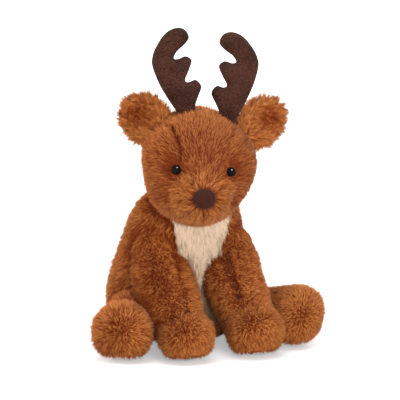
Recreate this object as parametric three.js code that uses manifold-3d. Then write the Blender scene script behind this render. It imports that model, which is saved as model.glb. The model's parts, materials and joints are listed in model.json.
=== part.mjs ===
// A seated plush deer, stuffed and weighted, with sewn-on limbs, ears, tail and soft felt antlers.
// Millimetres. Z is up, the deer faces -Y and its own left side is towards +X.
// The origin is the middle of the flat underside of the seat, on the surface the toy sits on.
import * as THREE from "three";
import { mergeVertices } from "three/addons/utils/BufferGeometryUtils.js";
import Module from "manifold-3d";

const wasm = await Module();
wasm.setup();

// Cloth, clearances and how finely round forms are divided
const clothThickness = 7; // woven backing and its pile together
const seamGap = 0.4; // between pieces sewn edge to edge or lying on each other
const rockSpareAngle = 5; // degrees more that a rocking root's seat opens than the root turns
const seatSink = 0.5; // how much the surface below flattens a rounded underside
const bodySegments = 22;
const limbSegments = 18;
const innerSegments = 12;
const toolSegments = 10;
const ballSegments = 20;
const beadSegments = 14;
const cupSegments = 14;

// Torso: a pear that leans forward
const torsoHeight = 147;
const torsoHalfWidth = 61.5;
const torsoHalfDepth = 61;
const torsoLean = 40; // how far the top of the back comes forward of the seat
const torsoRings = 12;
// height, half width, half depth and lean, from the seat to the neck
const torsoShares = [
  [0.0, 0.0, 0.0, 0.0],
  [0.0, 0.46, 0.46, 0.0],
  [0.02, 0.72, 0.72, 0.0],
  [0.085, 0.93, 0.92, 0.0],
  [0.21, 1.0, 1.0, 0.02],
  [0.36, 0.98, 0.95, 0.1],
  [0.5, 0.925, 0.86, 0.26],
  [0.64, 0.87, 0.76, 0.45],
  [0.77, 0.81, 0.66, 0.65],
  [0.88, 0.69, 0.52, 0.83],
  [0.965, 0.43, 0.32, 0.96],
  [1.0, 0.0, 0.0, 1.0],
];

// Cream panel from the throat to the seat
const bibTopHalfWidth = 27;
const bibSeatHalfWidth = 15;
const bibSeatHeight = 9;
const bibThroatHeight = 128;

// Pouch of plastic beans in the seat
const pouchRadius = 24;
const pouchHeight = 16;
const pouchEdgeRadius = 7;
const pouchBack = 11; // behind the middle of the seat

// Neck: a firm wad between torso and head, and the pivot of both neck movements
const neckRadius = 28;
const neckForward = 40;
const neckHeight = 131;
const neckTurnAngle = 15; // degrees either way that the head is cleared for
const neckNodAngle = 8;

// Head: an egg whose narrow end is the muzzle, in its own frame round its widest section
const headWidth = 101;
const headHeight = 102;
const headDepth = 108;
const headForward = 22; // of the neck pivot
const headLift = 29; // above the neck pivot
const headTurnAngle = -15; // degrees, the pose the toy is set down in
const headTiltAngle = 3.5;
const headRings = 14;
// distance from the back of the head, half width, half height and lift of the section's middle
const headShares = [
  [0.0, 0.0, 0.0, 0.03],
  [0.022, 0.4, 0.4, 0.03],
  [0.1, 0.72, 0.72, 0.03],
  [0.24, 0.93, 0.93, 0.02],
  [0.42, 1.0, 1.0, 0.0],
  [0.57, 0.965, 0.95, -0.01],
  [0.69, 0.86, 0.84, -0.035],
  [0.79, 0.7, 0.68, -0.08],
  [0.875, 0.53, 0.51, -0.125],
  [0.945, 0.37, 0.34, -0.155],
  [0.988, 0.18, 0.17, -0.17],
  [1.0, 0.0, 0.0, -0.175],
];
const headMiddleShare = 0.42; // of the depth, where the head's own frame lies

// Eyes: plastic beads on a shank, locked inside by a washer
const eyeRadius = 4.3;
const eyeHalfGap = 24.5;
const eyeLift = 4.5; // from the middle of the head, below which the muzzle droops
const eyeBury = 1.6; // of the bead, under the tips of the pile
const shankRadius = 1.6;
const shankLength = 13;
const washerRadius = 6;
const washerThickness = 1.4;
const washerStand = 0.7; // of its middle off the cloth that it holds, which is hollow there

// Nose: a padded felt oval at the tip of the muzzle
const noseHalfWidth = 9.6;
const noseHalfHeight = 8.4;
const noseHalfDepth = 4.6;
const noseBury = 2.2;

// Ears: round cupped lobes, each folding about the line it is sewn along
const earLength = 41.5;
const earHalfWidth = 22;
const earHalfThickness = 8;
const earRootRadius = 6.4;
const earRootHalfLength = 15;
const earRootSink = 3; // of the root's axis under the tips of the head's pile
const earBack = 8.5; // behind the head's widest section
const earCupDepth = 5;
const earLiningThickness = 2.5;
const earPlaceAngle = 37; // degrees up from level of where it is sewn, seen from the front
const earRiseAngle = 33; // degrees up from level that the lobe points
const earSwingAngle = 18; // degrees that the lobe's face is turned outwards
const earFoldAngle = 12; // degrees either way
const earRings = 8;
// distance from the sewn line, half width and half thickness
const earShares = [
  [0.0, 0.68, 0.8],
  [0.16, 0.86, 0.94],
  [0.36, 0.99, 1.0],
  [0.56, 0.98, 0.98],
  [0.76, 0.82, 0.9],
  [0.92, 0.5, 0.66],
  [0.985, 0.2, 0.3],
  [1.0, 0.0, 0.0],
];

// Antlers: flat felt shapes, sewn up and stuffed, with two prongs and a curled tip
const antlerHeight = 79;
const antlerReach = 28; // from the root's middle to the outermost edge
const antlerRootRadius = 7.8;
const antlerCore = 5; // thickness at the seam line
const antlerPuff = 3.6; // how far each face swells past it
const antlerEdge = 3.4; // how far in from the outline the swelling starts
const antlerHalfGap = 19.5; // between the roots' middles and the pair's middle
const antlerPairShift = 8; // of the pair towards the deer's left
const antlerSwayAngle = 6; // degrees that the soft pair leans towards the deer's right as it sits
const antlerFlexAngle = 7; // degrees either way
const antlerRootSink = 6;
const antlerForward = 2; // of the head's widest section
const antlerPoints = 46;
// across (towards the outside) and up, round the antler from the outer side of its root
const antlerShares = [
  [0.27, 0.0],
  [0.29, 0.06],
  [0.56, 0.22],
  [0.82, 0.4],
  [1.0, 0.6],
  [0.97, 0.71],
  [0.86, 0.8],
  [0.62, 0.92],
  [0.38, 0.98],
  [0.14, 0.997],
  [-0.07, 0.965],
  [-0.17, 0.885],
  [-0.04, 0.815],
  [0.22, 0.735],
  [0.32, 0.665],
  [0.19, 0.655],
  [-0.04, 0.68],
  [-0.22, 0.63],
  [-0.12, 0.52],
  [0.0, 0.42],
  [-0.1, 0.395],
  [-0.32, 0.415],
  [-0.49, 0.34],
  [-0.38, 0.23],
  [-0.28, 0.13],
  [-0.27, 0.0],
];

// Front legs: from shoulder to paw, resting on the surface in front
const shoulderHalfGap = 36;
const shoulderForward = 42;
const shoulderHeight = 86;
const shoulderRadius = 21;
const shoulderLiftAngle = 16; // degrees that a front leg is cleared for, up from its resting pose
const frontLegRadius = 25;
const pawHalfGap = 31.5;
const pawForward = 98;
const pawHalfWidth = 26.5;
const pawHalfHeight = 24;
const pawToe = 11; // from the ankle's end of the paw to its round toe
const pawSettle = 1.7; // how much lower the paw's middle lies than half its height
const elbowInward = 3; // how much nearer the middle the leg's two halves meet than its ends do
const frontLegRings = 7;
// half width and half height along the leg, of the leg's radius, before the paw
const frontLegShares = [
  [0.84, 0.84],
  [1.03, 0.96],
  [1.12, 1.0],
  [1.08, 0.97],
  [0.98, 0.94],
];

// Hind legs: short, with a large round foot
const hipHalfGap = 45;
const hipForward = 18;
const hipHeight = 27;
const hipRadius = 22;
const hipSplayAngle = 10; // degrees that a hind leg is cleared for, outwards from its resting pose
const hindLegRadius = 20;
const footForward = 85;
const footHalfWidth = 28.5;
const footAsideShare = 0.86; // of its half width, from the side of the paw to the foot's middle
const footHalfHeight = 27;
const footSole = 21; // from the widest part of the foot to the middle of its sole
const footHalfGap = pawHalfGap + pawHalfWidth + footAsideShare * footHalfWidth;
const hindLegRings = 6;
// half width and half height along the leg, of the leg's radius, before the foot
const hindLegShares = [
  [1.09, 1.1],
  [0.965, 1.13],
  [0.965, 1.18],
];

// Openings that each limb is stuffed through, at its root
const stuffingHoleRadius = 9;

// Tail
const tailLength = 27;
const tailRadius = 11.5;
const tailRootRadius = 8;
const tailHeight = 36;
const tailRiseAngle = 35; // degrees above level
const tailSink = 3;
const tailWagAngle = 15; // degrees either way
const tailRings = 7;
const tailShares = [
  [0.0, 0.67],
  [0.2, 0.82],
  [0.45, 1.0],
  [0.7, 0.93],
  [0.88, 0.62],
  [0.97, 0.3],
  [1.0, 0.0],
];

const brown = new THREE.Color(0x9a5524);
const cream = new THREE.Color(0xdcc3a2);
const felt = new THREE.Color(0x3d2019);
const beadBlack = new THREE.Color(0x0b0a0a);
const fibreWhite = new THREE.Color(0xf1eee6);
const pouchGrey = new THREE.Color(0xb9b4aa);
const washerWhite = new THREE.Color(0xe4e2dc);
const clothRoughness = 0.95;
const feltRoughness = 0.9;
const beadRoughness = 0.08;
const plasticRoughness = 0.45;

const radians = THREE.MathUtils.degToRad;
const lerp = THREE.MathUtils.lerp;

// How far a round section's flat facets lie inside the circle through its corners.
const facetDepth = (radius, around) => radius * (1 - Math.cos(Math.PI / around));

// Room round a ball that turns in its seat, and round a limb or the head cleared by a coarse tool.
const ballClearance = seamGap + 2 * facetDepth(neckRadius, ballSegments);
const legWidest = Math.max(...frontLegShares.flat()) * frontLegRadius;
const limbClearance = seamGap + facetDepth(legWidest, toolSegments);
const headClearance = seamGap + facetDepth(headHeight / 2, toolSegments);

// Solids

// A closed geometry as a manifold solid. Only its positions matter.
function solidOf(geometry) {
  const bare = new THREE.BufferGeometry();
  bare.setAttribute("position", geometry.getAttribute("position"));
  if (geometry.index) bare.setIndex(geometry.index);
  const merged = mergeVertices(bare, seamGap / 400);
  return new wasm.Manifold(
    new wasm.Mesh({
      numProp: 3,
      vertProperties: new Float32Array(merged.attributes.position.array),
      triVerts: new Uint32Array(merged.index.array),
    }),
  );
}

// A manifold solid as a geometry, its largest piece where a cut leaves crumbs.
function geometryOf(solid) {
  const pieces = solid.decompose().sort((a, b) => b.volume() - a.volume());
  const made = pieces[0].getMesh();
  const geometry = new THREE.BufferGeometry();
  geometry.setAttribute("position", new THREE.BufferAttribute(made.vertProperties, made.numProp));
  geometry.setIndex(new THREE.BufferAttribute(made.triVerts, 1));
  geometry.computeVertexNormals();
  return geometry;
}

// Reads a table of stations as smooth columns, for t from 0 to 1.
function smoothTable(table) {
  const places = table.map((_, row) => row / (table.length - 1));
  const reader = new THREE.CubicInterpolant(places, table.flat(), table[0].length);
  return (t) => Array.from(reader.evaluate(t));
}

// A closed skin over a list of oval rings {centre, side, up, half: [along side, along up]}. The first and
// last ring are points, and the faces are turned outwards.
function skinOver(rings, around) {
  const points = [rings[0].centre];
  for (const ring of rings.slice(1, -1)) {
    for (let k = 0; k < around; k++) {
      const angle = (2 * Math.PI * k) / around;
      const point = ring.centre.clone();
      point.addScaledVector(ring.side, Math.cos(angle) * ring.half[0]);
      point.addScaledVector(ring.up, Math.sin(angle) * ring.half[1]);
      points.push(point);
    }
  }
  points.push(rings.at(-1).centre);
  const faces = [];
  const at = (row, k) => 1 + row * around + (k % around);
  const rows = rings.length - 2;
  for (let k = 0; k < around; k++) {
    faces.push([0, at(0, k + 1), at(0, k)]);
    for (let row = 0; row + 1 < rows; row++) {
      faces.push([at(row, k), at(row, k + 1), at(row + 1, k)]);
      faces.push([at(row + 1, k), at(row, k + 1), at(row + 1, k + 1)]);
    }
    faces.push([at(rows - 1, k), at(rows - 1, k + 1), points.length - 1]);
  }
  const volume = faces.reduce((sum, [a, b, c]) => {
    const normal = new THREE.Vector3().crossVectors(points[b], points[c]);
    return sum + points[a].dot(normal);
  }, 0);
  if (volume < 0) faces.forEach((face) => face.reverse());
  const geometry = new THREE.BufferGeometry().setFromPoints(points);
  geometry.setIndex(faces.flat());
  return solidOf(geometry);
}

// A ball, or an oval one when scaled.
function ball(radius, centre, { scale = new THREE.Vector3(1, 1, 1), around = ballSegments } = {}) {
  const geometry = new THREE.SphereGeometry(radius, around, around / 2);
  geometry.scale(scale.x, scale.y, scale.z);
  geometry.translate(centre.x, centre.y, centre.z);
  return solidOf(geometry);
}

// A rod of a length centred on the origin, along an axis, then moved to a place.
function rod(radius, length, axis, centre) {
  const geometry = new THREE.CylinderGeometry(radius, radius, length, beadSegments);
  const turn = new THREE.Quaternion().setFromUnitVectors(new THREE.Vector3(0, 1, 0), axis);
  geometry.applyQuaternion(turn);
  geometry.translate(centre.x, centre.y, centre.z);
  return solidOf(geometry);
}

// A solid carried by a matrix.
function carried(solid, matrix) {
  return solid.transform(matrix.elements);
}

// What lies below the surface the toy sits on, in a frame whose own origin is that high above it.
function belowFloor(height) {
  const span = 8 * torsoHeight;
  const geometry = new THREE.BoxGeometry(span, span, torsoHeight);
  geometry.translate(0, 0, -torsoHeight / 2 - height);
  return solidOf(geometry);
}

// The turn that carries up to a direction, keeping the front of the piece towards -Y.
function frameAlong(up, front) {
  const side = new THREE.Vector3().crossVectors(up, front).normalize();
  const back = new THREE.Vector3().crossVectors(up, side).normalize();
  return new THREE.Matrix4().makeBasis(side, back, up.clone().normalize());
}

// Torso

const torsoRow = smoothTable(torsoShares);

function torsoRing(t, inset) {
  const [height, width, depth, lean] = torsoRow(t);
  const rise = torsoHeight + seatSink - 2 * inset;
  const shrink = 1 - inset / torsoHalfWidth;
  return {
    centre: new THREE.Vector3(0, -lean * torsoLean, inset - seatSink + height * rise),
    side: new THREE.Vector3(1, 0, 0),
    up: new THREE.Vector3(0, 1, 0),
    half: [width * torsoHalfWidth * shrink, depth * torsoHalfDepth * shrink],
  };
}

function torsoForm(inset, around, ringCount = torsoRings) {
  const rings = [];
  for (let k = 0; k <= ringCount; k++) rings.push(torsoRing(k / ringCount, inset));
  return skinOver(rings, around);
}

// How far back the torso's surface lies at a height, on the middle line behind.
function torsoBack(height) {
  let best = null;
  const lookCount = 200;
  for (let k = 0; k <= lookCount; k++) {
    const ring = torsoRing(k / lookCount, 0);
    if (!best || Math.abs(ring.centre.z - height) < Math.abs(best.centre.z - height)) best = ring;
  }
  return best.centre.y + best.half[1];
}

const neckPivot = new THREE.Vector3(0, -neckForward, neckHeight);
const shoulderAt = (side) => new THREE.Vector3(side * shoulderHalfGap, -shoulderForward, shoulderHeight);
const hipAt = (side) => new THREE.Vector3(side * hipHalfGap, -hipForward, hipHeight);
const tailAt = new THREE.Vector3(0, torsoBack(tailHeight) - tailSink, tailHeight);

// The bib's outline seen from the front, cut through the front half of the torso.
function bibTool(grow) {
  const outline = new THREE.Shape();
  const low = bibSeatHeight - grow;
  const high = bibThroatHeight + grow;
  const seatHalf = bibSeatHalfWidth + grow;
  const topHalf = bibTopHalfWidth + grow;
  const middle = lerp(low, high, 0.5);
  outline.moveTo(-seatHalf, low);
  outline.lineTo(seatHalf, low);
  outline.quadraticCurveTo(seatHalf, middle, topHalf, high);
  outline.lineTo(-topHalf, high);
  outline.quadraticCurveTo(-seatHalf, middle, -seatHalf, low);
  const depth = torsoHalfDepth + torsoLean;
  const geometry = new THREE.ExtrudeGeometry(outline, { depth, bevelEnabled: false, curveSegments: 5 });
  geometry.rotateX(Math.PI / 2);
  geometry.translate(0, -torsoLean / 2, 0);
  return solidOf(geometry);
}

function pouchForm(grow) {
  const profile = new THREE.Path();
  const low = clothThickness + seamGap - grow;
  const high = low + pouchHeight + 2 * grow;
  const out = pouchRadius + grow;
  const corner = pouchEdgeRadius;
  profile.moveTo(0, low);
  profile.lineTo(out - corner, low);
  profile.quadraticCurveTo(out, low, out, low + corner);
  profile.lineTo(out, high - corner);
  profile.quadraticCurveTo(out, high, out - corner, high);
  profile.lineTo(0, high);
  const geometry = new THREE.LatheGeometry(profile.getPoints(2), ballSegments);
  geometry.rotateX(Math.PI / 2);
  geometry.translate(0, pouchBack, 0);
  return solidOf(geometry);
}

// Head, in a frame whose origin is the middle of its widest section

const headRow = smoothTable(headShares);

function headRing(t, inset) {
  const [along, width, height, lift] = headRow(t);
  const depth = headDepth - 2 * inset;
  return {
    centre: new THREE.Vector3(0, headMiddleShare * headDepth - inset - along * depth, lift * headHeight),
    side: new THREE.Vector3(1, 0, 0),
    up: new THREE.Vector3(0, 0, 1),
    half: [width * (headWidth / 2 - inset), height * (headHeight / 2 - inset)],
  };
}

function headForm(inset, around, ringCount = headRings) {
  const rings = [];
  for (let k = 0; k <= ringCount; k++) rings.push(headRing(k / ringCount, inset));
  return skinOver(rings, around);
}

// A point of the head's surface and its outward normal, at station t and an angle round the ring.
function headSurface(t, angle) {
  const stepShare = 0.01;
  const place = (where, turn) => {
    const ring = headRing(where, 0);
    const point = ring.centre.clone();
    point.addScaledVector(ring.side, Math.cos(turn) * ring.half[0]);
    return point.addScaledVector(ring.up, Math.sin(turn) * ring.half[1]);
  };
  const point = place(t, angle);
  const ahead = place(Math.min(t + stepShare, 1), angle);
  const along = ahead.sub(place(Math.max(t - stepShare, 0), angle));
  const round = place(t, angle + stepShare).sub(place(t, angle - stepShare));
  const normal = new THREE.Vector3().crossVectors(round, along).normalize();
  if (normal.dot(point) < 0) normal.negate();
  return { point, normal };
}

// The point of the head's surface for which a measure is least, looked for between two stations.
function headNearest(measure, from, to) {
  let best = null;
  const lookCount = 120;
  for (let row = 1; row < lookCount; row++) {
    for (let k = 0; k < lookCount; k++) {
      const angle = (2 * Math.PI * k) / lookCount;
      const found = headSurface(lerp(from, to, row / lookCount), angle);
      const off = measure(found.point);
      if (!best || off < best.off) best = { ...found, off };
    }
  }
  return best;
}

// Where a line from the head's middle leaves the head.
function headLeaving(towards) {
  const target = towards.clone().normalize();
  return headNearest((point) => point.clone().normalize().distanceTo(target), 0, 1);
}

// Eyes and their washers, in the head's frame. An eye's own frame has the bead's middle as its origin and
// the shank along -Z.

function eyeFrame(side) {
  const off = (point) => Math.hypot(point.x - side * eyeHalfGap, point.z - eyeLift);
  const { point, normal } = headNearest(off, headMiddleShare, 1);
  const centre = point.clone().addScaledVector(normal, -eyeBury);
  return frameAlong(normal, new THREE.Vector3(0, 0, -1)).setPosition(centre);
}

function eyeForm(grow) {
  const bead = ball(eyeRadius + grow, new THREE.Vector3(), { around: beadSegments });
  const centre = new THREE.Vector3(0, 0, -shankLength / 2);
  return bead.add(rod(shankRadius + grow, shankLength, new THREE.Vector3(0, 0, 1), centre));
}

const washerDrop = clothThickness + seamGap + washerStand - eyeBury;

function washerForm(grow) {
  const centre = new THREE.Vector3(0, 0, -washerDrop - washerThickness / 2);
  const axis = new THREE.Vector3(0, 0, 1);
  return rod(washerRadius + grow, washerThickness + 2 * grow, axis, centre);
}

// Nose, in the head's frame

function noseForm(grow) {
  const tip = headRing(1, 0).centre;
  const centre = new THREE.Vector3(0, tip.y + noseBury, tip.z);
  const scale = new THREE.Vector3(noseHalfWidth + grow, noseHalfDepth + grow, noseHalfHeight + grow);
  return ball(1, centre, { scale, around: limbSegments });
}

// A round-bottomed slot along Y, opening upwards so that a root of its radius can rock about Y.
function rockingSeat(radius, angle, height, length) {
  const lean = radians(angle);
  const reach = (height + radius * Math.sin(lean)) / Math.cos(lean);
  const side = new THREE.Vector2(Math.cos(lean), -Math.sin(lean)).multiplyScalar(radius);
  const rise = new THREE.Vector2(Math.sin(lean), Math.cos(lean)).multiplyScalar(reach);
  const profile = new THREE.Shape();
  profile.moveTo(side.x + rise.x, side.y + rise.y);
  profile.lineTo(-side.x - rise.x, side.y + rise.y);
  profile.lineTo(-side.x, side.y);
  profile.absarc(0, 0, radius, Math.PI + lean, 2 * Math.PI - lean, false);
  const slot = { depth: length, bevelEnabled: false, curveSegments: 8 };
  const geometry = new THREE.ExtrudeGeometry(profile, slot);
  geometry.translate(0, 0, -length / 2);
  geometry.rotateX(Math.PI / 2);
  return solidOf(geometry);
}

// Ears, upright in their own frame: the sewn line runs along X, the lobe rises along Z and faces -Y

const earRow = smoothTable(earShares);

function earWhole() {
  const upright = { side: new THREE.Vector3(1, 0, 0), up: new THREE.Vector3(0, 1, 0) };
  const rings = [{ centre: new THREE.Vector3(0, 0, -earRootRadius) }];
  const rootRings = 3;
  for (let k = 1; k < rootRings; k++) {
    const angle = (Math.PI / 2) * (k / rootRings);
    const half = [earRootHalfLength * Math.sin(angle), earRootRadius * Math.sin(angle)];
    const centre = new THREE.Vector3(0, 0, -earRootRadius * Math.cos(angle));
    rings.push({ centre, ...upright, half });
  }
  for (let k = 0; k <= earRings; k++) {
    const [along, width, thickness] = earRow(k / earRings);
    const half = [width * earHalfWidth, thickness * earHalfThickness];
    rings.push({ centre: new THREE.Vector3(0, 0, along * earLength), ...upright, half });
  }
  return skinOver(rings, limbSegments);
}

// The hollow of the ear, which the lining fills in part.
function earCup(shrink) {
  const centre = new THREE.Vector3(0, -earHalfThickness, earLength / 2);
  const scale = new THREE.Vector3(
    earHalfWidth - clothThickness / 2 - shrink,
    earCupDepth - shrink,
    earLength / 2 - clothThickness / 2 - shrink,
  );
  return ball(1, centre, { scale, around: cupSegments });
}

function earLining() {
  const forward = new THREE.Matrix4().makeTranslation(0, -earLiningThickness, 0);
  const whole = earWhole();
  return earCup(seamGap).intersect(whole).subtract(carried(earCup(0), forward));
}

function earFrame(side) {
  const place = radians(earPlaceAngle);
  const rise = radians(earRiseAngle);
  const spot = new THREE.Vector3(side * Math.cos(place), 0, Math.sin(place)).multiplyScalar(headWidth / 2);
  const { point } = headLeaving(spot.setY(earBack));
  const towards = new THREE.Vector3(side * Math.cos(rise), 0, Math.sin(rise));
  const inwards = point.clone().normalize();
  const centre = point.clone().addScaledVector(inwards, -earRootSink);
  const front = new THREE.Vector3(side * Math.sin(radians(earSwingAngle)), -1, 0).normalize();
  const outwards = towards.clone().addScaledVector(front, -towards.dot(front)).normalize();
  return frameAlong(outwards, front).setPosition(centre);
}

function earSeat() {
  const length = 2 * (earRootHalfLength + limbClearance);
  const seat = rockingSeat(earRootRadius + seamGap, earFoldAngle + rockSpareAngle, earLength / 2, length);
  return carried(seat, new THREE.Matrix4().makeRotationZ(Math.PI / 2));
}

// Antlers, upright in their own frame: the root's middle is the origin and the face looks towards -Y

function antlerOutline(side) {
  const points = antlerShares.map(
    ([across, up]) => new THREE.Vector2(side * across * antlerReach, up * antlerHeight),
  );
  const root = [];
  const rootRings = 5;
  for (let k = 1; k < rootRings; k++) {
    const angle = Math.PI + (Math.PI * k) / rootRings;
    const across = side * Math.cos(angle) * antlerRootRadius;
    root.push(new THREE.Vector2(across, Math.sin(angle) * antlerRootRadius));
  }
  const curve = new THREE.SplineCurve([...points, ...root, points[0]]);
  const outline = curve.getSpacedPoints(antlerPoints).slice(0, -1);
  if (THREE.ShapeUtils.isClockWise(outline)) outline.reverse();
  return outline;
}

function antlerForm(side) {
  const geometry = new THREE.ExtrudeGeometry(new THREE.Shape(antlerOutline(side)), {
    depth: antlerCore,
    bevelEnabled: true,
    bevelThickness: antlerPuff,
    bevelSize: antlerEdge,
    bevelOffset: -antlerEdge,
    bevelSegments: 2,
  });
  geometry.translate(0, 0, -antlerCore / 2);
  geometry.rotateX(Math.PI / 2);
  return solidOf(geometry);
}

function antlerFrame(side) {
  const across = antlerPairShift + side * antlerHalfGap;
  const { point } = headLeaving(new THREE.Vector3(across, -antlerForward, headHeight / 2));
  const centre = new THREE.Vector3(point.x, point.y, point.z - antlerRootSink);
  return new THREE.Matrix4().makeRotationY(-radians(antlerSwayAngle)).setPosition(centre);
}

function antlerSeat() {
  const length = antlerCore + 2 * antlerPuff + 2 * seamGap;
  const opening = antlerFlexAngle + rockSpareAngle;
  return rockingSeat(antlerRootRadius + seamGap, opening, antlerHeight / 2, length);
}

// Limbs, each in a frame whose origin is the middle of its root

// A stuffed limb along a path: a round root, oval sections between, and a rounded end. A span share
// below 1 gives only that much of the path.
function limbForm({ path, halves, rootRadius, endLength, ringCount, inset, around, spanShare = 1 }) {
  const curve = new THREE.CatmullRomCurve3(path);
  const row = smoothTable(halves);
  const rings = [];
  const capRings = 3;
  const ringAt = (t, offset, scale) => {
    const forward = curve.getTangentAt(t);
    const side = new THREE.Vector3().crossVectors(forward, new THREE.Vector3(0, 0, 1)).normalize();
    const up = new THREE.Vector3().crossVectors(side, forward).normalize();
    const centre = curve.getPointAt(t).addScaledVector(forward, offset);
    rings.push({ centre, side, up, half: row(t).map((half) => (half - inset) * scale) });
  };
  for (let k = 0; k < capRings; k++) {
    const angle = (Math.PI / 2) * (k / capRings);
    ringAt(0, -(rootRadius - inset) * Math.cos(angle), Math.sin(angle));
  }
  for (let k = 0; k <= ringCount; k++) ringAt((spanShare * k) / ringCount, 0, 1);
  for (let k = 1; k <= capRings; k++) {
    const angle = (Math.PI / 2) * (k / capRings);
    ringAt(spanShare, (endLength - inset) * Math.sin(angle), Math.cos(angle));
  }
  return skinOver(rings, around);
}

function frontLegForm(side, inset, around, part = {}) {
  const root = shoulderAt(side);
  const pawHeight = pawHalfHeight - pawSettle;
  const toe = new THREE.Vector3(side * pawHalfGap, -pawForward - pawToe, pawHeight).sub(root);
  const heel = new THREE.Vector3(side * pawHalfGap, -pawForward, pawHeight + pawToe / 4).sub(root);
  const elbow = heel.clone().multiplyScalar(0.5);
  elbow.x -= side * elbowInward;
  const halves = frontLegShares.map(([width, height]) => [width * frontLegRadius, height * frontLegRadius]);
  halves.push([pawHalfWidth, pawHalfHeight]);
  const path = [new THREE.Vector3(), elbow, heel, toe];
  const shape = { path, halves, rootRadius: shoulderRadius, endLength: pawHalfHeight };
  return limbForm({ ...shape, ringCount: frontLegRings, inset, around, ...part });
}

function hindLegForm(side, inset, around, part = {}) {
  const root = hipAt(side);
  const foot = new THREE.Vector3(side * footHalfGap, -footForward, footHalfHeight - seatSink).sub(root);
  const knee = foot.clone().multiplyScalar(0.5);
  const halves = hindLegShares.map(([width, height]) => [width * hindLegRadius, height * hindLegRadius]);
  halves.push([footHalfWidth, footHalfHeight]);
  const path = [new THREE.Vector3(), knee, foot];
  const shape = { path, halves, rootRadius: hipRadius, endLength: footSole };
  return limbForm({ ...shape, ringCount: hindLegRings, inset, around, ...part });
}

// The hole that a limb is stuffed through, from its root's middle towards the torso.
function stuffingHole(side, rootRadius) {
  const centre = new THREE.Vector3(-side * rootRadius, 0, 0);
  return rod(stuffingHoleRadius, 2 * clothThickness + rootRadius, new THREE.Vector3(1, 0, 0), centre);
}

// Tail, along +Y of its own frame

const tailRow = smoothTable(tailShares);

function tailForm(inset, around) {
  const frame = { side: new THREE.Vector3(1, 0, 0), up: new THREE.Vector3(0, 0, 1) };
  const rings = [{ centre: new THREE.Vector3(0, inset - tailRootRadius, 0) }];
  const rootRings = 3;
  for (let k = 1; k < rootRings; k++) {
    const angle = (Math.PI / 2) * (k / rootRings);
    const radius = (tailRootRadius - inset) * Math.sin(angle);
    const centre = new THREE.Vector3(0, (inset - tailRootRadius) * Math.cos(angle), 0);
    rings.push({ centre, ...frame, half: [radius, radius] });
  }
  for (let k = 0; k <= tailRings; k++) {
    const [along, radius] = tailRow(k / tailRings);
    const centre = new THREE.Vector3(0, along * (tailLength - inset), 0);
    rings.push({ centre, ...frame, half: [radius * (tailRadius - inset), radius * (tailRadius - inset)] });
  }
  return skinOver(rings, around);
}

// Room that a moving piece needs in what it is sewn to

// A tool at each of its piece's angles about an axis through its own origin, as one.
function swept(tool, axis, angles) {
  const turns = angles.map((angle) => new THREE.Matrix4().makeRotationAxis(axis, radians(angle)));
  return turns.slice(1).reduce((all, turn) => all.add(carried(tool, turn)), carried(tool, turns[0]));
}

const rootSpan = { spanShare: 0.6, ringCount: 4 }; // as much of a leg as comes near the torso

function frontLegRoom(side) {
  const tool = frontLegForm(side, -limbClearance, toolSegments, rootSpan);
  const room = swept(tool, new THREE.Vector3(1, 0, 0), [-shoulderLiftAngle, -shoulderLiftAngle / 2, 0]);
  return carried(room, new THREE.Matrix4().makeTranslation(shoulderAt(side)));
}

function hindLegRoom(side) {
  const tool = hindLegForm(side, -limbClearance, toolSegments, rootSpan);
  const splay = side * hipSplayAngle;
  const room = swept(tool, new THREE.Vector3(0, 0, 1), [0, splay / 2, splay]);
  return carried(room, new THREE.Matrix4().makeTranslation(hipAt(side)));
}

function tailRoom() {
  const rise = new THREE.Matrix4().makeRotationX(radians(tailRiseAngle));
  const tool = carried(tailForm(-limbClearance, toolSegments), rise);
  const angles = [-tailWagAngle, 0, tailWagAngle];
  const room = swept(tool, new THREE.Vector3(0, 0, 1), angles);
  return carried(room, new THREE.Matrix4().makeTranslation(tailAt));
}

// Everywhere the head reaches as it turns and nods on the neck, and the neck itself.
function headRoom(head) {
  head.updateMatrixWorld(true);
  const face = head.getObjectByName("face_group");
  const toPivot = new THREE.Matrix4().makeTranslation(neckPivot);
  const inNeck = toPivot.clone().invert().multiply(face.matrixWorld);
  const tool = carried(headForm(-headClearance, innerSegments, toolSegments), inNeck);
  const upright = new THREE.Vector3(0, 0, 1);
  const nodAxis = new THREE.Vector3(1, 0, 0).applyAxisAngle(upright, radians(headTurnAngle));
  const nods = swept(tool, nodAxis, [-neckNodAngle, 0, neckNodAngle]);
  const turns = swept(nods, upright, [-neckTurnAngle, 0, neckTurnAngle]);
  return carried(turns, toPivot).add(ball(neckRadius + ballClearance, neckPivot));
}

// Assembly

const materials = {
  brown: new THREE.MeshStandardMaterial({ color: brown, roughness: clothRoughness, metalness: 0 }),
  cream: new THREE.MeshStandardMaterial({ color: cream, roughness: clothRoughness, metalness: 0 }),
  felt: new THREE.MeshStandardMaterial({ color: felt, roughness: feltRoughness, metalness: 0 }),
  bead: new THREE.MeshStandardMaterial({ color: beadBlack, roughness: beadRoughness, metalness: 0 }),
  fibre: new THREE.MeshStandardMaterial({ color: fibreWhite, roughness: clothRoughness, metalness: 0 }),
  pouch: new THREE.MeshStandardMaterial({ color: pouchGrey, roughness: clothRoughness, metalness: 0 }),
  washer: new THREE.MeshStandardMaterial({ color: washerWhite, roughness: plasticRoughness, metalness: 0 }),
};

function piece(name, solid, material) {
  const mesh = new THREE.Mesh(geometryOf(solid), material.clone());
  mesh.name = name;
  return mesh;
}

function groupAt(name, matrix) {
  const group = new THREE.Group();
  group.name = name;
  group.applyMatrix4(matrix);
  return group;
}

const sideName = (side) => (side > 0 ? "left" : "right");

function makeEar(side) {
  const group = groupAt(`ear_${sideName(side)}_group`, earFrame(side));
  group.add(piece(`ear_${sideName(side)}_back`, earWhole().subtract(earCup(0)), materials.brown));
  group.add(piece(`ear_${sideName(side)}_lining`, earLining(), materials.brown));
  return group;
}

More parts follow.
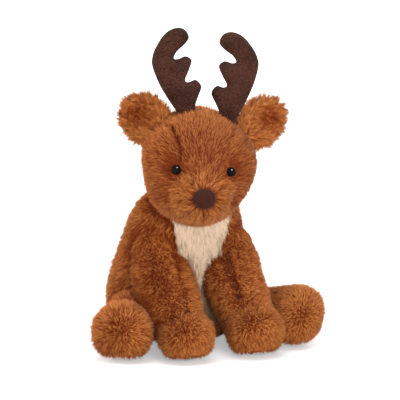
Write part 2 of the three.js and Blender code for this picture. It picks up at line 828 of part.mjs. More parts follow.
function makeAntler(side) {
  const group = groupAt(`antler_${sideName(side)}_group`, antlerFrame(side));
  group.add(piece(`antler_${sideName(side)}`, antlerForm(side), materials.felt));
  return group;
}

function makeEye(side) {
  const group = groupAt(`eye_${sideName(side)}_group`, eyeFrame(side));
  const middle = new THREE.Vector3(0, 0, -washerDrop);
  const hole = rod(shankRadius + seamGap, shankLength, new THREE.Vector3(0, 0, 1), middle);
  group.add(piece(`eye_${sideName(side)}`, eyeForm(0), materials.bead));
  group.add(piece(`eye_washer_${sideName(side)}`, washerForm(0).subtract(hole), materials.washer));
  return group;
}

function makeHead() {
  const group = groupAt("head_group", new THREE.Matrix4().makeTranslation(neckPivot));
  group.rotation.set(0, radians(headTiltAngle), radians(headTurnAngle), "ZYX");
  const face = groupAt("face_group", new THREE.Matrix4().makeTranslation(0, -headForward, headLift));
  group.add(face);

  const neck = ball(neckRadius + ballClearance, new THREE.Vector3(0, headForward, -headLift));
  let sewn = neck;
  let fastened = neck;
  for (const side of [-1, 1]) {
    const roots = carried(earSeat(), earFrame(side)).add(carried(antlerSeat(), antlerFrame(side)));
    sewn = sewn.add(roots).add(carried(eyeForm(seamGap), eyeFrame(side)));
    const fastener = eyeForm(seamGap).add(washerForm(seamGap));
    fastened = fastened.add(roots).add(carried(fastener, eyeFrame(side)));
    face.add(makeEye(side), makeEar(side), makeAntler(side));
  }
  const inner = (inset) => headForm(inset, innerSegments, headRings - 4);
  const cover = headForm(0, bodySegments).subtract(inner(clothThickness));
  face.add(piece("head_cover", cover.subtract(sewn).subtract(noseForm(seamGap)), materials.brown));
  face.add(piece("head_filling", inner(clothThickness + seamGap).subtract(fastened), materials.fibre));
  face.add(piece("nose", noseForm(0), materials.felt));
  return group;
}

// What of the torso's inside is stuffed: all but the pouch, the neck and the ends of the tail and legs.
function torsoStuffing(inside) {
  const neckFloor = neckHeight - neckRadius - seamGap;
  const above = carried(belowFloor(0), new THREE.Matrix4().makeTranslation(0, 0, neckFloor + torsoHeight));
  const tailEnd = ball(tailRootRadius + clothThickness, tailAt, { around: toolSegments });
  let hollow = pouchForm(seamGap).add(above).add(tailEnd);
  for (const side of [-1, 1]) {
    const moves = [
      [frontLegForm, shoulderAt(side), shoulderLiftAngle],
      [hindLegForm, hipAt(side), hipSplayAngle],
    ];
    for (const [form, root, angle] of moves) {
      const spread = limbClearance + Math.sin(radians(angle)) * frontLegRadius;
      const leg = form(side, -spread, toolSegments, rootSpan);
      hollow = hollow.add(carried(leg, new THREE.Matrix4().makeTranslation(root)));
    }
  }
  return inside.subtract(hollow);
}

function makeTorso(head) {
  const group = groupAt("torso_group", new THREE.Matrix4());
  let room = headRoom(head).add(tailRoom());
  for (const side of [-1, 1]) room = room.add(frontLegRoom(side)).add(hindLegRoom(side));
  const inner = (inset) => torsoForm(inset, innerSegments, torsoRings - 3);
  const outer = torsoForm(0, bodySegments).subtract(belowFloor(0)).subtract(room);
  const shell = outer.subtract(inner(clothThickness));
  const filling = torsoStuffing(inner(clothThickness + seamGap));
  group.add(piece("torso_cover", shell.subtract(bibTool(seamGap)), materials.brown));
  group.add(piece("chest_bib", shell.intersect(bibTool(0)), materials.cream));
  group.add(piece("torso_filling", filling, materials.fibre));
  group.add(piece("seat_bean_pouch", pouchForm(0), materials.pouch));
  return group;
}

function makeNeck() {
  const group = groupAt("neck_group", new THREE.Matrix4().makeTranslation(neckPivot));
  group.add(piece("neck_plug", ball(neckRadius, new THREE.Vector3()), materials.brown));
  return group;
}

function makeLimb(name, side, root, form, rootRadius) {
  const group = groupAt(`${name}_${sideName(side)}_group`, new THREE.Matrix4().makeTranslation(root));
  const outer = form(side, 0, limbSegments).subtract(belowFloor(root.z));
  const cover = outer.subtract(form(side, clothThickness, innerSegments));
  const filling = form(side, clothThickness + seamGap, innerSegments);
  const open = cover.subtract(stuffingHole(side, rootRadius));
  group.add(piece(`${name}_${sideName(side)}_cover`, open, materials.brown));
  group.add(piece(`${name}_${sideName(side)}_filling`, filling, materials.fibre));
  return group;
}

function makeTail() {
  const group = groupAt("tail_group", new THREE.Matrix4().makeTranslation(tailAt));
  group.rotation.x = radians(tailRiseAngle);
  group.add(piece("tail", tailForm(0, limbSegments), materials.brown));
  return group;
}

const deer = new THREE.Group();
deer.name = "plush_deer";
const head = makeHead();
deer.add(head, makeNeck(), makeTorso(head), makeTail());
for (const side of [-1, 1]) {
  deer.add(makeLimb("front_leg", side, shoulderAt(side), frontLegForm, shoulderRadius));
  deer.add(makeLimb("hind_leg", side, hipAt(side), hindLegForm, hipRadius));
}

export default deer;
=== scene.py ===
import json
import math

import bpy
import numpy as np
from mathutils import Matrix, Vector, geometry
from mathutils.bvhtree import BVHTree


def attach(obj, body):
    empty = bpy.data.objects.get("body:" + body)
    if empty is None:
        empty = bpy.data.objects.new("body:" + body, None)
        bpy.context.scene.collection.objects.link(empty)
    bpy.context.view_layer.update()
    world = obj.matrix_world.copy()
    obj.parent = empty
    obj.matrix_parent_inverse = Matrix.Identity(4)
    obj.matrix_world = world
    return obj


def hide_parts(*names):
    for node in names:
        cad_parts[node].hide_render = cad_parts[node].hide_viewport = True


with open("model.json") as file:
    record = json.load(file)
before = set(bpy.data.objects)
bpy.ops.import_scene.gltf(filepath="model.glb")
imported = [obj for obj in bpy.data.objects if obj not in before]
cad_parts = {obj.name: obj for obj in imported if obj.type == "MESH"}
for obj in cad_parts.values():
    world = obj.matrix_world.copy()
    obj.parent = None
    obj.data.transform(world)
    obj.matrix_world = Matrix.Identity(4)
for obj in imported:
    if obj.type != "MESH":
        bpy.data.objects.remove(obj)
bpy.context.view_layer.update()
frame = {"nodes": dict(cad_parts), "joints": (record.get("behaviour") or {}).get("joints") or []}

bl_info = {
    "name": "Seated plush deer",
    "version": (1, 0, 0),
    "blender": (4, 5, 0),
    "location": "View3D > Sidebar > Deer",
    "description": "Pile cloth, felt antlers, bead eyes and a stage for a seated stuffed deer",
    "category": "Object",
}

MM = 0.001
X_AXIS, Y_AXIS, Z_AXIS = np.eye(3)
DOWN = (0.0, 0.0, -1.0)

# ---- The toy's sewn forms, in millimetres: the same tables as its solids ----

TORSO = {"height": 147, "wide": 61.5, "deep": 61, "lean": 40, "sink": 0.5}
TORSO_SHARES = [
    (0.0, 0.0, 0.0, 0.0),
    (0.0, 0.46, 0.46, 0.0),
    (0.02, 0.72, 0.72, 0.0),
    (0.085, 0.93, 0.92, 0.0),
    (0.21, 1.0, 1.0, 0.02),
    (0.36, 0.98, 0.95, 0.1),
    (0.5, 0.925, 0.86, 0.26),
    (0.64, 0.87, 0.76, 0.45),
    (0.77, 0.81, 0.66, 0.65),
    (0.88, 0.69, 0.52, 0.83),
    (0.965, 0.43, 0.32, 0.96),
    (1.0, 0.0, 0.0, 1.0),
]
BIB = {"seat": 15, "top": 27, "low": 9, "high": 128, "ahead": 10}
NECK = {"radius": 28, "pivot": (0, -40, 131)}
HEAD = {"wide": 101, "high": 102, "deep": 108, "middle": 0.42, "turn": -15, "tilt": 3.5}
HEAD_SEAT = (0, -22, 29)  # of the head's widest section, from the neck's pivot
HEAD_SHARES = [
    (0.0, 0.0, 0.0, 0.03),
    (0.022, 0.4, 0.4, 0.03),
    (0.1, 0.72, 0.72, 0.03),
    (0.24, 0.93, 0.93, 0.02),
    (0.42, 1.0, 1.0, 0.0),
    (0.57, 0.965, 0.95, -0.01),
    (0.69, 0.86, 0.84, -0.035),
    (0.79, 0.7, 0.68, -0.08),
    (0.875, 0.53, 0.51, -0.125),
    (0.945, 0.37, 0.34, -0.155),
    (0.988, 0.18, 0.17, -0.17),
    (1.0, 0.0, 0.0, -0.175),
]
EYE = {"radius": 4.3, "half_gap": 24.5, "lift": 4.5, "bury": 1.6}
NOSE = {"wide": 9.6, "high": 8.4, "deep": 4.6, "bury": 2.2}
EAR = {"length": 41.5, "wide": 22, "thick": 8, "root": 6.4, "root_half": 15, "cup": 5}
EAR_TURNS = {"rise": 33, "swing": 18}
EAR_SHARES = [
    (0.0, 0.68, 0.8),
    (0.16, 0.86, 0.94),
    (0.36, 0.99, 1.0),
    (0.56, 0.98, 0.98),
    (0.76, 0.82, 0.9),
    (0.92, 0.5, 0.66),
    (0.985, 0.2, 0.3),
    (1.0, 0.0, 0.0),
]
ANTLER = {"height": 79, "reach": 28, "root": 7.8, "core": 5, "puff": 3.6, "sway": 6}
ANTLER_SHARES = [
    (0.27, 0.0),
    (0.29, 0.06),
    (0.56, 0.22),
    (0.82, 0.4),
    (1.0, 0.6),
    (0.97, 0.71),
    (0.86, 0.8),
    (0.62, 0.92),
    (0.38, 0.98),
    (0.14, 0.997),
    (-0.07, 0.965),
    (-0.17, 0.885),
    (-0.04, 0.815),
    (0.22, 0.735),
    (0.32, 0.665),
    (0.19, 0.655),
    (-0.04, 0.68),
    (-0.22, 0.63),
    (-0.12, 0.52),
    (0.0, 0.42),
    (-0.1, 0.395),
    (-0.32, 0.415),
    (-0.49, 0.34),
    (-0.38, 0.23),
    (-0.28, 0.13),
    (-0.27, 0.0),
]
SHOULDER = {"half_gap": 36, "forward": 42, "height": 86, "radius": 21}
FRONT_LEG = {"radius": 25, "paw_gap": 31.5, "paw_forward": 98, "toe": 11, "settle": 1.7, "elbow_in": 3}
PAW = (26.5, 24)
FRONT_LEG_SHARES = ((0.84, 0.84), (1.03, 0.96), (1.12, 1.0), (1.08, 0.97), (0.98, 0.94))
HIP = {"half_gap": 45, "forward": 18, "height": 27, "radius": 22}
HIND_LEG = {"radius": 20, "foot_gap": 82.51, "foot_forward": 85, "sole": 21}
FOOT = (28.5, 27)
HIND_LEG_SHARES = ((1.09, 1.1), (0.965, 1.13), (0.965, 1.18))
TAIL = {"length": 27, "radius": 11.5, "root": 8, "rise": 35}
TAIL_SHARES = [
    (0.0, 0.67),
    (0.2, 0.82),
    (0.45, 1.0),
    (0.7, 0.93),
    (0.88, 0.62),
    (0.97, 0.3),
    (1.0, 0.0),
]
SIDES = {"left": 1, "right": -1}

# ---- The cloth lies inside the pile's mean surface by this much ----

SKIN_INSET = {"torso": 4.9, "head": 4.5, "leg": 4.9, "tail": 5.0, "ear": 4.6, "neck": 5.0}

# ---- Where this one stuffed toy departs from its pattern, in millimetres ----

# across, up, reach and how much fuller
SHOULDERS_UNEVEN = [(-40, 122, 14, 1.5), (42, 118, 12, -1.8)]
# across, up, reach and how much flatter: one cheek and the top are fuller, the jaws flatter
HEAD_UNEVEN = [(-48, -9, 18, 2.8), (40, -28, 20, 2.4), (50, 12, 15, -2.2), (-49, 22, 12, -1.6), (-2, 50, 16, -1.5)]
# across and up, seen from in front
FOREHEAD_SEAM = [(-31, 39.5), (-27.5, 36.5), (-24.5, 33), (-20.5, 25), (-19.2, 17), (-19.7, 11)]
EYE_HOLLOW = {"deep": 1.2, "reach": 9.0, "inward": 1.6, "shade": 0.7, "shade_reach": 11, "shade_at": (5, 0, 4)}
MUZZLE = {"half": 28, "above": 20, "below": 24, "groove": 3.2, "swell": 1.3, "bunch": 2.1}
STITCH = {"top": -10, "bottom": -19, "deep": 1.6, "reach": 1.5}
# how the soft ears and antlers hang, aside from their solids
EAR_SLUMP = {"left": (3.8, 0, 0.4), "right": (5.6, 0, -0.8)}
ANTLER_SLUMP = {"left": (1.8, 0, 0.2), "right": (-1.2, 0, -1.2)}
LEG_BOW = {"left": np.array([-3.0, 4, 0]), "right": np.array([-4.0, 4, 0])}
LEG_SEAMS = {
    "left": [(23.1, -62.2, 84.8), (21.3, -67.5, 79.2), (20.3, -75.8, 70.7), (20.9, -86.9, 58.3), (21.9, -97.2, 46.0)],
    "right": [(-24, -52, 90), (-27.3, -67.8, 79.9), (-28.9, -82.9, 64.4), (-29.6, -94.1, 51.4), (-32.3, -110, 40.8)],
}
LEG_SEAM = {"deep": 5.0, "narrow": 2.4, "wide": 6, "left": 1.0, "right": 0.6}
PAW_FOLD = [(-52.1, -92.7, 31.1), (-50.2, -98.6, 33.8), (-47.3, -104.6, 35.4), (-44.2, -111.7, 37.5)]
ARMPIT = {"at": (15, -58, 88), "deep": 4.5, "reach": 13}
THIGH = {"at": (-66, -42, 44), "full": 4.6, "reach": 25}
# one foot: across or ahead, up, reach and how much flatter
FOOT_SIDE, FOOT_TOP = [(103, 18, 16, 2.2)], [(-78, 50, 20, -2.6)]


def hinge(name):
    """Where a joint lies, in millimetres."""
    found = next(j for j in frame["joints"] if j["name"] == name)
    return Vector(found["pos_m"]) / MM


# ---- Lofts ----


def table_at(table, t):
    """The columns of a table of equally spaced stations at each t from 0 to 1, as a smooth curve."""
    rows = np.array(table, float)
    last = len(rows) - 1
    place = np.clip(np.asarray(t, float), 0, 1) * last
    low = np.minimum(place.astype(int), last - 1)
    p = (place - low)[:, None]
    before = rows[np.where(low > 0, low - 1, 1)]
    after = rows[np.where(low + 2 <= last, low + 2, last - 1)]
    a, b = rows[low], rows[low + 1]
    return (
        before * (-0.5 * p**3 + p**2 - 0.5 * p)
        + a * (1.5 * p**3 - 2.5 * p**2 + 1)
        + b * (-1.5 * p**3 + 2 * p**2 + 0.5 * p)
        + after * (0.5 * p**3 - 0.5 * p**2)
    )


def path_through(points, steps=400):
    """A dense centripetal curve through points, with the share of its length at each step."""
    p = [np.array(x, float) for x in points]
    p = [2 * p[0] - p[1], *p, 2 * p[-1] - p[-2]]
    line = []
    for i in range(1, len(p) - 2):
        d = [np.linalg.norm(p[k + 1] - p[k]) ** 0.5 for k in (i - 1, i, i + 1)]
        run = p[i + 1] - p[i]
        m1 = (p[i] - p[i - 1]) / d[0] - (p[i + 1] - p[i - 1]) / (d[0] + d[1]) + run / d[1]
        m2 = run / d[1] - (p[i + 2] - p[i]) / (d[1] + d[2]) + (p[i + 2] - p[i + 1]) / d[2]
        m1, m2 = m1 * d[1], m2 * d[1]
        for k in range(steps):
            t = k / steps
            line.append(p[i] + m1 * t + (3 * run - 2 * m1 - m2) * t**2 + (m1 + m2 - 2 * run) * t**3)
    line.append(p[-2])
    line = np.array(line)
    reach = np.concatenate([[0], np.cumsum(np.linalg.norm(np.diff(line, axis=0), axis=1))])
    return line, reach / reach[-1]


def on_path(path, t):
    """Points and directions of a dense curve at shares t of its length."""
    line, share = path
    at = lambda s: np.stack([np.interp(s, share, line[:, k]) for k in range(3)], 1)
    t = np.asarray(t, float)
    ahead = at(np.minimum(t + 0.004, 1)) - at(np.maximum(t - 0.004, 0))
    return at(t), ahead / np.linalg.norm(ahead, axis=1)[:, None]


def wrap(centre, side, up, half, around):
    """A closed grid over oval rings, whose first and last are points, with its faces turned outwards. The
    rings' side and up are one direction, or one for each ring."""
    side, up = np.broadcast_to(side, centre.shape), np.broadcast_to(up, centre.shape)
    angle = 2 * np.pi * np.arange(around) / around
    ring = centre[1:-1, None] + side[1:-1, None] * (np.cos(angle) * half[1:-1, :1])[..., None]
    ring = ring + up[1:-1, None] * (np.sin(angle) * half[1:-1, 1:])[..., None]
    points = np.concatenate([centre[:1], ring.reshape(-1, 3), centre[-1:]])
    rows = len(centre) - 2
    at = lambda row, k: 1 + row * around + k % around
    faces = [(0, at(0, k + 1), at(0, k)) for k in range(around)]
    for row in range(rows - 1):
        faces += [
            (at(row, k), at(row, k + 1), at(row + 1, k + 1), at(row + 1, k)) for k in range(around)
        ]
    faces += [(at(rows - 1, k), at(rows - 1, k + 1), len(points) - 1) for k in range(around)]
    if signed_volume(points, faces) < 0:
        faces = [tuple(reversed(face)) for face in faces]
    return points, faces


def per_point(values, around):
    """One value for each ring of a wrapped form, as one for each of its points."""
    return np.concatenate([values[:1], np.repeat(values[1:-1], around), values[-1:]])


def signed_volume(points, faces):
    """Six times a closed form's volume, below 0 where its faces point inwards."""
    return sum(
        points[f[0]] @ np.cross(points[f[k]], points[f[k + 1]])
        for f in faces
        for k in range(1, len(f) - 1)
    )


def rings_over(count):
    """Shares along a form, closer together towards both ends."""
    k = np.arange(count + 1) / count
    return 0.45 * k + 0.55 * (1 - np.cos(np.pi * k)) / 2


def ball_rings(radius, count):
    """Heights and radii of a ball's rings, from its lowest point to its highest."""
    angle = np.pi * (rings_over(count) - 0.5)
    around = radius * np.cos(angle)
    around[0] = around[-1] = 0
    return radius * np.sin(angle), around


def carried(points, matrix):
    """Points as a matrix places them."""
    m = np.array(matrix)
    return points @ m[:3, :3].T + m[:3, 3]


def head_matrix():
    """The head's own frame: it looks along -Y, round the middle of its widest section."""
    turn = Matrix.Rotation(math.radians(HEAD["turn"]), 4, "Z")
    tilt = Matrix.Rotation(math.radians(HEAD["tilt"]), 4, "Y")
    at = Matrix.Translation(NECK["pivot"])
    return at @ turn @ tilt @ Matrix.Translation(HEAD_SEAT)


TORSO_GRID = (84, 96)  # rings, and points on each


def torso_grid(inset, rings=TORSO_GRID[0], around=TORSO_GRID[1]):
    """The torso, its surface inset from its solid's."""
    t = rings_over(rings)
    height, wide, deep, lean = table_at(TORSO_SHARES, t).T
    shrink = 1 - inset / TORSO["wide"]
    rise = TORSO["height"] + TORSO["sink"] - 2 * inset
    centre = np.stack([0 * t, -lean * TORSO["lean"], inset - TORSO["sink"] + height * rise], 1)
    half = np.stack([wide * TORSO["wide"] * shrink, deep * TORSO["deep"] * shrink], 1)
    return wrap(centre, X_AXIS, Y_AXIS, half, around)


def head_rings(t, inset):
    """Middles and half sizes of the head's sections, from its back at t = 0 to its nose at 1."""
    along, wide, high, lift = table_at(HEAD_SHARES, t).T
    y = HEAD["middle"] * HEAD["deep"] - inset - along * (HEAD["deep"] - 2 * inset)
    centre = np.stack([0 * t, y, lift * HEAD["high"]], 1)
    half = np.stack([wide * (HEAD["wide"] / 2 - inset), high * (HEAD["high"] / 2 - inset)], 1)
    return centre, half


def head_grid(inset, rings, around):
    """The head in its own frame."""
    centre, half = head_rings(rings_over(rings), inset)
    return wrap(centre, X_AXIS, Z_AXIS, half, around)


def head_spot(x, z, inset=0.0):
    """The point and outward normal of the front of the head, seen level from in front, in its frame."""
    t, angle = np.meshgrid(np.linspace(0.43, 0.999, 240), np.linspace(0, 2 * np.pi, 361), indexing="ij")
    centre, half = head_rings(t[:, 0], inset)
    points = np.stack(
        [
            half[:, :1] * np.cos(angle),
            np.broadcast_to(centre[:, 1:2], angle.shape),
            centre[:, 2:] + half[:, 1:] * np.sin(angle),
        ],
        -1,
    )
    off = np.hypot(points[..., 0] - x, points[..., 2] - z)
    i, j = np.unravel_index(off.argmin(), off.shape)
    i, j = min(max(i, 1), len(t) - 2), min(max(j, 1), angle.shape[1] - 2)
    normal = np.cross(points[i, j + 1] - points[i, j - 1], points[i + 1, j] - points[i - 1, j])
    normal /= np.linalg.norm(normal)
    if normal @ points[i, j] < 0:
        normal = -normal
    return points[i, j], normal


def limb_grid(path, halves, root, end, inset, rings=46, around=64, caps=9):
    """A stuffed limb: a round root, oval sections and a rounded end."""
    angle = (np.pi / 2) * np.arange(caps) / caps
    t = np.concatenate([np.zeros(caps), np.arange(rings + 1) / rings, np.ones(caps)])
    push = np.concatenate(
        [-(root - inset) * np.cos(angle), np.zeros(rings + 1), (end - inset) * np.sin(angle + np.pi / 2 / caps)]
    )
    scale = np.concatenate([np.sin(angle), np.ones(rings + 1), np.cos(angle + np.pi / 2 / caps)])
    centre, forward = on_path(path, t)
    side = np.cross(forward, (0, 0, 1.0))
    side /= np.linalg.norm(side, axis=1)[:, None]
    up = np.cross(side, forward)
    half = (table_at(halves, t) - inset) * scale[:, None]
    return wrap(centre + forward * push[:, None], side, up, half, around)


def front_leg_path(side):
    """From the shoulder past the elbow to the paw's tip."""
    root = Vector((side * SHOULDER["half_gap"], -SHOULDER["forward"], SHOULDER["height"]))
    height = PAW[1] - FRONT_LEG["settle"]
    gap, forward, toe = side * FRONT_LEG["paw_gap"], FRONT_LEG["paw_forward"], FRONT_LEG["toe"]
    heel = Vector((gap, -forward, height + toe / 4))
    tip = Vector((gap, -forward - toe, height))
    elbow = (root + heel) / 2 - Vector((side * FRONT_LEG["elbow_in"], 0, 0))
    return path_through([root, elbow, heel, tip])


def front_leg_grid(side, inset, **grid):
    """A front leg with its paw."""
    halves = [(a * FRONT_LEG["radius"], b * FRONT_LEG["radius"]) for a, b in FRONT_LEG_SHARES] + [PAW]
    return limb_grid(front_leg_path(side), halves, SHOULDER["radius"], PAW[1], inset, **grid)


def hind_leg_path(side):
    """From the hip to the foot."""
    root = Vector((side * HIP["half_gap"], -HIP["forward"], HIP["height"]))
    foot = Vector((side * HIND_LEG["foot_gap"], -HIND_LEG["foot_forward"], FOOT[1] - TORSO["sink"]))
    return path_through([root, (root + foot) / 2, foot])


def hind_leg_grid(side, inset, **grid):
    """A hind leg with its round foot."""
    halves = [(a * HIND_LEG["radius"], b * HIND_LEG["radius"]) for a, b in HIND_LEG_SHARES] + [FOOT]
    return limb_grid(hind_leg_path(side), halves, HIP["radius"], HIND_LEG["sole"], inset, **grid)


def tail_grid(inset):
    """The tail, placed: a round root and a drop shape that rises backwards."""
    t = np.arange(25) / 24
    along, radius = table_at(TAIL_SHARES, t).T
    angle = (np.pi / 2) * np.arange(8) / 8
    root = TAIL["root"] - inset
    y = np.concatenate([-root * np.cos(angle), along * (TAIL["length"] - inset)])
    r = np.concatenate([root * np.sin(angle), radius * (TAIL["radius"] - inset)])
    centre = np.stack([0 * y, y, 0 * y], 1)
    points, faces = wrap(centre, X_AXIS, Z_AXIS, np.stack([r, r], 1), 40)
    rise = Matrix.Rotation(math.radians(TAIL["rise"]), 4, "X")
    return carried(points, Matrix.Translation(hinge("tail_wag")) @ rise), faces


def ear_matrix(name, side):
    """The ear's own frame: the sewn line along X, the lobe along Z, its face towards -Y."""
    rise, swing = math.radians(EAR_TURNS["rise"]), math.radians(EAR_TURNS["swing"])
    towards = Vector((side * math.cos(rise), 0, math.sin(rise)))
    front = Vector((side * math.sin(swing), -1, 0)).normalized()
    up = (towards - front * towards.dot(front)).normalized()
    across = up.cross(front).normalized()
    back = up.cross(across).normalized()
    turn = Matrix((across, back, up)).transposed().to_4x4()
    place = head_matrix().to_3x3().to_4x4() @ turn
    return Matrix.Translation(hinge(f"ear_{name}_fold")) @ place


def ear_grid(inset, around=60):
    """An ear in its own frame, hollowed in front."""
    angle = (np.pi / 2) * np.arange(6) / 6
    t = rings_over(44)
    along, wide, thick = table_at(EAR_SHARES, t).T
    z = np.concatenate([-(EAR["root"] - inset / 2) * np.cos(angle), along * (EAR["length"] - inset)])
    half = np.concatenate(
        [
            np.stack([(EAR["root_half"] - inset) * np.sin(angle), (EAR["root"] - inset / 2) * np.sin(angle)], 1),
            np.stack([wide * (EAR["wide"] - inset), thick * (EAR["thick"] - inset / 2)], 1),
        ]
    )
    points, faces = wrap(np.stack([0 * z, 0 * z, z], 1), X_AXIS, Y_AXIS, half, around)
    x, y, z = points.T
    off = (x / (EAR["wide"] - inset - 2)) ** 2 + ((z / EAR["length"] - 0.5) / 0.46) ** 2
    dip = EAR["cup"] * 1.25 * np.clip(1 - off, 0, 1) ** 0.8
    points[:, 1] = np.where(y < 0, np.minimum(y + dip, EAR["thick"] * 0.35), y)
    return points, faces


def torso_form():
    """The torso as a plainer grid, to measure what lies in it; the next two do the same."""
    return torso_grid(SKIN_INSET["torso"], 40, 48)


def head_form():
    points, faces = head_grid(SKIN_INSET["head"], 40, 48)
    return carried(points, head_matrix()), faces


def leg_form(grid, side):
    return grid(side, SKIN_INSET["leg"], rings=30, around=40)


# ---- Meshes ----


def mesh_object(name, points, faces):
    """A mesh object at the origin, from points in millimetres."""
    mesh = bpy.data.meshes.new(name)
    mesh.from_pydata((np.asarray(points) * MM).tolist(), [], faces)
    mesh.update()
    mesh.polygons.foreach_set("use_smooth", [True] * len(mesh.polygons))
    made = bpy.data.objects.new(name, mesh)
    bpy.context.scene.collection.objects.link(made)
    return made


def places_of(mesh):
    """The mesh's points, in metres."""
    found = np.empty(len(mesh.vertices) * 3, np.float32)
    mesh.vertices.foreach_get("co", found)
    return found.reshape(-1, 3).astype(float)


def normals_of(mesh):
    """Its points' outward directions."""
    found = np.empty(len(mesh.vertices) * 3, np.float32)
    mesh.vertex_normals.foreach_get("vector", found)
    return found.reshape(-1, 3).astype(float)


def keep(mesh, name, kind, values):
    """Stores one value for each vertex."""
    made = mesh.attributes.new(name, kind, "POINT")
    made.data.foreach_set("vector" if kind == "FLOAT_VECTOR" else "value", np.ravel(values).astype(np.float32))


def outward(made):
    """Turns a closed mesh's faces outwards."""
    points = places_of(made.data)
    faces = [tuple(p.vertices) for p in made.data.polygons]
    if signed_volume(points, faces) < 0:
        made.data.flip_normals()


def pressed(points, faces, sunk):
    """Points moved into their surface, each as deep as it is sunk."""
    mesh = bpy.data.meshes.new("measured")
    mesh.from_pydata(points.tolist(), [], faces)
    mesh.update()
    moved = points - normals_of(mesh) * sunk[:, None]
    bpy.data.meshes.remove(mesh)
    return moved


def unit(vectors):
    """Each vector made one long."""
    return vectors / np.maximum(np.linalg.norm(vectors, axis=1), 1e-9)[:, None]


def along_surface(directions, normals):
    """Directions laid flat on a surface."""
    return unit(directions - normals * (directions * normals).sum(1)[:, None])


def far(points, spot):
    """Each point's distance from a spot."""
    return np.linalg.norm(points - spot, axis=1)


def beside(points, line):
    """Each point's distance from a line of points, and the number of the nearest of them."""
    off = np.linalg.norm(points[:, None] - line[None], axis=2)
    return off.min(1), off.argmin(1)


def bell(distance, reach):
    """1 near a spot, falling off smoothly over a reach."""
    return np.exp(-((np.asarray(distance) / reach) ** 2))


def ramp(value, start, run):
    """0 up to a start and 1 from a run past it, even between them. A run below 0 goes down."""
    return np.clip((value - start) / run, 0, 1)


def uneven(a, b, spots):
    """What a table of spots adds up to over two coordinates. A spot is its place, its reach and its height."""
    return sum(height * bell(np.hypot(a - p, b - q), reach) for p, q, reach, height in spots)


def depth_in(points, grid):
    """How far points lie inside a closed grid, in millimetres; below 0 outside it."""
    where, faces = grid
    tree = BVHTree.FromPolygons(where.tolist(), faces)
    depth = np.zeros(len(points))
    for i, p in enumerate(points):
        near, normal, _, off = tree.find_nearest(p)
        depth[i] = off if (Vector(p) - near).dot(normal) < 0 else -off
    return depth


def clear_of(points, *grids, depth=3.0):
    """1 where a coat is needed and 0 where points lie deep in other forms."""
    cover = np.ones(len(points))
    for grid in grids:
        cover *= depth_in(points, grid) < depth
    return cover


def fold_shade(points, reach, *grids):
    """1 where a form sinks into others, falling off over a reach: it weights the painted shade laid in such folds."""
    deepest = np.max([depth_in(points, grid) for grid in grids], axis=0)
    return bell(np.minimum(deepest, 0), reach)


# ---- Node trees ----


class Wire:
    """A socket of a node tree, on which sums are written as plain expressions."""

    def __init__(self, tree, socket):
        self.tree, self.socket = tree, socket

    def sum(self, operation, *others):
        """A Math node with this socket and others."""
        made = self.tree.add("ShaderNodeMath", {"operation": operation})
        for slot, value in enumerate((self, *others)):
            self.tree.feed(made.inputs[slot], value)
        return Wire(self.tree, made.outputs[0])

    def __add__(self, other):
        return self.sum("ADD", other)

    def __sub__(self, other):
        return self.sum("SUBTRACT", other)

    def __rsub__(self, other):
        return (self * -1).sum("ADD", other)

    def __mul__(self, other):
        return self.sum("MULTIPLY", other)

    def within(self):
        """Held between 0 and 1."""
        return self.sum("MAXIMUM", 0.0).sum("MINIMUM", 1.0)

    __radd__, __rmul__ = __add__, __mul__


class Tree:
    """A shader or geometry node tree that is written in a few words."""

    def __init__(self, nodes):
        self.nodes, self.links = nodes.nodes, nodes.links

    def feed(self, socket, value):
        """Links a wire to a socket, or sets its value."""
        if isinstance(value, Wire):
            self.links.new(value.socket, socket)
        else:
            socket.default_value = value

    def add(self, kind, settings=None, values=None):
        """A node of a kind: its settings are set first, then its sockets by name or number."""
        made = self.nodes.new(kind)
        for name, value in (settings or {}).items():
            setattr(made, name, value)
        for name, value in (values or {}).items():
            self.feed(made.inputs[name], value)
        return made

    def get(self, kind, settings=None, values=None, out=0):
        """A new node's output."""
        return Wire(self, self.add(kind, settings, values).outputs[out])

    def noise(self, place, scale, detail, out=0, **more):
        values = {"Vector": place, "Scale": scale, "Detail": detail, **more}
        return self.get("ShaderNodeTexNoise", None, values, out)

    def mix(self, share, a, b):
        """Two colours mixed: a Mix node's colours are its sockets 6 and 7, and its result is 2."""
        return self.get("ShaderNodeMix", {"data_type": "RGBA"}, {0: share, 6: a, 7: b}, out=2)

    def vectors(self, operation, *values):
        """A Vector Math node, whose scale is a socket with a name."""
        made = self.add("ShaderNodeVectorMath", {"operation": operation})
        for slot, value in enumerate(values):
            self.feed(made.inputs["Scale" if operation == "SCALE" and slot == 1 else slot], value)
        return Wire(self, made.outputs[0])


def new_material(name, build, roughness, **constants):
    """A material whose build(tree, shader) makes what varies. Constants go on the shader's own sockets."""
    made = bpy.data.materials.new(name)
    made.use_nodes = True
    tree = Tree(made.node_tree)
    shader = next(n for n in tree.nodes if n.type == "BSDF_PRINCIPLED")
    shader.inputs["Roughness"].default_value = roughness
    for socket, value in constants.items():
        shader.inputs[socket.replace("_", " ")].default_value = value
    build(tree, shader)
    return made


def rgba(colour, gain=1.0):
    """A colour for a socket, brightened by a gain."""
    return (colour[0] * gain, colour[1] * gain, colour[2] * gain, 1.0)


